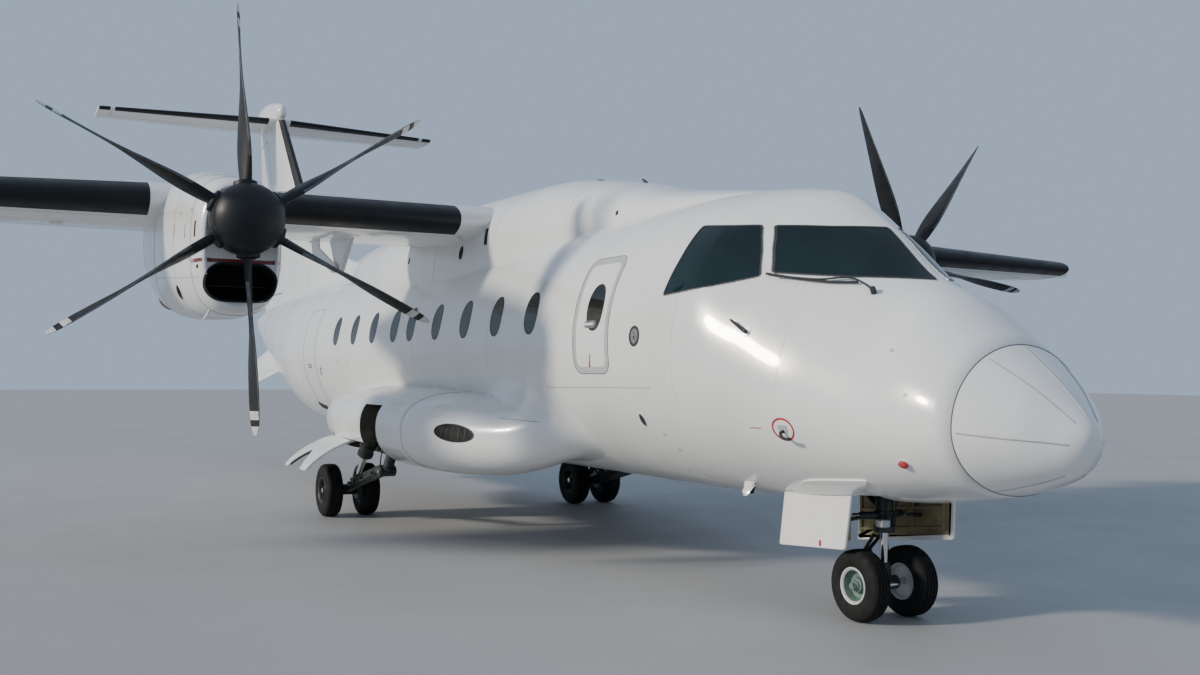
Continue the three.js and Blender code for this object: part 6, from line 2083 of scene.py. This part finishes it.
def make_wing_details(skin, trim):
    def place(span, along, side):
        x, y, _ = wing.point(span, along)
        return x, side * y

    for side in (-1, 1):
        for view in ("top", "below"):
            for start, end, along in ((1200, 4200, 0.12), (4350, 8200, 0.12), (1100, 8200, 0.58)):
                flat = [place(span, along, side) for span in np.linspace(start, end, 12)]
                trim.laid(skin, flat, view, radius=0.0012, most=0.15)
            for span in (2100, 3300, 5000, 5900, 6500, 7400, 8220):
                flat = [place(span, along, side) for along in (0.13, 0.70)]
                trim.laid(skin, flat, view, radius=0.0011, most=0.05)
                if view == "below":
                    flat = oval(place(span + 300, 0.36, side), 0.16, 0.10, power=3, count=40)
                    trim.laid(skin, flat, view, radius=0.0013, closed=True)
                    trim.row(skin, offset_outline(flat, 0.016), view, 0.05, closed=True)
            for span in (3300, 5600, 7000) if view == "top" else ():
                flat = oval(place(span, 0.30, side), 0.055, 0.055, count=32)
                trim.laid(skin, flat, view, radius=0.0014, closed=True)
            for start, end, count in ((4400, 8200, 12), (1250, 2900, 6)):
                row = [place(span, 0.105, side) for span in np.linspace(start, end, count)]
                trim.row(skin, row, view, 0.10)
    lamps = Shell()
    sizes = np.array([0.002, 0.008, 0.012, 0.014, 0.014, 0.013, 0.011, 0.007, 0.002])
    for side, mark in ((-1, 1), (1, 0)):
        path = [wing.point(span, 0.0) * [1, side, 1] + [0.002, 0, 0] for span in np.linspace(9500, 10100, 9)]
        lamps.add(skinned(rings_along(path, sizes, 14)), mark)
    dress(lamps.piece("wing_tip_lamps", [RED_LENS, CLEAR_LENS]), "airframe", "glass")


def tab_outline(surface, start, end, along, up, side=1):
    """The three open edges of a trim tab at a trailing edge."""
    corners = ((start, 0.99), (start, along), (end, along), (end, 0.99))
    return [surface.point(span, share, up) * [1, side, 1] for span, share in corners]


def make_tail_details(trim):
    for side in (-1, 1):
        for up in (-1, 1):
            for along in (0.13, 0.60):
                points = [tailplane.point(span, along, up) * [1, side, 1]
                          for span in np.linspace(300, 3080, 20)]
                trim.line(points, radius=0.0011)
            for span in (1000, 2000):
                points = [tailplane.point(span, along, up) * [1, side, 1]
                          for along in np.linspace(0.14, 0.56, 12)]
                trim.line(points, radius=0.0010)
            side_name = "left" if side > 0 else "right"
            tab = tab_outline(tailplane, 700, 1900, 0.90, up, side)
            trim.line(tab, f"elevator_{side_name}", 0.0012)
            tab = tab_outline(wing, 6900, 7900, 0.93, up, side)
            trim.line(tab, f"aileron_{side_name}", 0.0012)
    for up in (-1, 1):
        for along in (0.11, 0.59):
            trim.line([fin.point(span, along, up) for span in np.linspace(4150, 6650, 20)], radius=0.0012)
        for span in (4200, 4900, 5600, 6250):
            trim.line([fin.point(span, along, up) for along in np.linspace(0.11, 0.59, 14)], radius=0.0010)
        trim.line(tab_outline(fin, 3500, 4700, 0.92, up), "rudder", 0.0012)
    for back in (19900, 20800):
        trim.line(round_rings(BULLET, [back], sides=96)[0], radius=0.0012, closed=True)
    lamp = [(0, 0.02), (0.030, 0.02), (0.032, 0.0), (0.028, -0.008), (0, -0.010)]
    shell = Shell().add(turned(lamp, "x", at(21462, 0, 7060), 32))
    dress(shell.piece("tail_lamp", [CLEAR_LENS]), "airframe", "glass")


def make_belly_details(skin, trim):
    for back in (3300, 4300, 5600, 12600, 14200, 15800):
        flat = [side_point(back, y) for y in (-700, -350, 0, 350, 700)]
        trim.laid(skin, flat, "below", radius=0.001)
    for back, long, wide in ((3800, 0.35, 0.22), (4700, 0.30, 0.30), (13300, 0.40, 0.24)):
        flat = box_outline(side_point(back, 0), long / 2, wide / 2, 0.05)
        trim.laid(skin, flat, "below", radius=0.0014, closed=True)
        trim.row(skin, offset_outline(flat, -0.02), "below", 0.06, closed=True)
    shell = Shell()
    for place, tall, long in (((2805, -533), 0.09, 0.115), ((13800, 0), 0.20, 0.30)):
        shell.add(blade_antenna(skin, place, "below", tall, long, 0.014, (-0.07, -0.08)))
    base, _ = skin.lay_point(side_point(13000, 0), "below")
    mount = [(0, 0.01), (0.06, 0.01), (0.06, -0.012), (0.054, -0.018), (0, -0.018)]
    lens = [(0, -0.016), (0.045, -0.016), (0.048, -0.04), (0.036, -0.07), (0, -0.085)]
    shell.add(turned(mount, "z", base, 40))
    shell.add(turned(lens, "z", base, 40), 1)
    dress(shell.piece("belly_antennas", [WHITE_PARTS, RED_LENS]), "airframe", "white")


def make_everything():
    trim = Trim()
    fuselage = make_fuselage()
    radome = make_radome()
    make_doors(fuselage)
    make_cockpit_glass(fuselage)
    make_cabin_windows(fuselage)
    wing_skin = make_wing()
    make_boots()
    make_flaps()
    make_control_surfaces()
    make_tail()
    hump = make_hump()
    pods, pod_fronts = make_pods()
    nacelles = make_nacelles()
    make_propellers()
    make_wheels()
    make_main_legs()
    make_gear_doors()
    make_nose_gear(fuselage)
    make_fuselage_details(fuselage, trim)
    make_diverters(radome)
    make_door_marks(fuselage, trim)
    make_hump_details(hump, trim)
    make_nacelle_details(nacelles, trim)
    make_pod_details(pods, pod_fronts, trim)
    make_wing_details(wing_skin, trim)
    make_tail_details(trim)
    make_belly_details(fuselage, trim)
    trim.make()


# Floor, light and camera
CAMERA_AT = (15.333, -5.76, 1.703)
CAMERA_YAW = 28.442
CAMERA_PITCH = 1.645
CAMERA_ROLL = 0.379
CAMERA_LENS = 36.01


def make_stage():
    mesh = bpy.data.meshes.new("studio_floor")
    mesh.from_pydata([(-90, -90, 0), (90, -90, 0), (90, 90, 0), (-90, 90, 0)], [], [(0, 1, 2, 3)])
    floor = placed("studio_floor", mesh)
    finish = plain_finish("pale_floor", (0.40, 0.40, 0.40), (0.36, 0.36, 0.36), (0.55, 0.75), 0.5)
    mesh.materials.append(finish)
    world = bpy.data.worlds.new("pale_studio")
    world.use_nodes = True
    back = world.node_tree.nodes["Background"]
    back.inputs["Color"].default_value = (0.60, 0.76, 1.0, 1)
    back.inputs["Strength"].default_value = 0.62
    bpy.context.scene.world = world
    key = bpy.data.lights.new("soft_key", "SUN")
    key.energy = 3.3
    key.angle = math.radians(6)
    key.color = (1.0, 0.92, 0.80)
    lamp = bpy.data.objects.new("soft_key", key)
    lamp.rotation_euler = Vector((-0.20, -0.90, 0.38)).to_track_quat("Z", "Y").to_euler()
    bpy.context.scene.collection.objects.link(lamp)


def make_camera():
    yaw, pitch = math.radians(CAMERA_YAW), math.radians(CAMERA_PITCH)
    roll = math.radians(CAMERA_ROLL)
    view = Vector((-math.cos(yaw) * math.cos(pitch), math.sin(yaw) * math.cos(pitch), math.sin(pitch)))
    level = Vector((math.sin(yaw), math.cos(yaw), 0))
    upright = level.cross(view)
    right = math.cos(roll) * level + math.sin(roll) * upright
    up = math.cos(roll) * upright - math.sin(roll) * level
    data = bpy.data.cameras.new("photo_view")
    data.lens = CAMERA_LENS
    data.sensor_width = 36
    camera = bpy.data.objects.new("photo_view", data)
    turn = Matrix((right, up, -view)).transposed().to_4x4()
    camera.matrix_world = Matrix.Translation(CAMERA_AT) @ turn
    bpy.context.scene.collection.objects.link(camera)
    bpy.context.scene.camera = camera


make_everything()
make_stage()
make_camera()

bpy.context.view_layer.update()
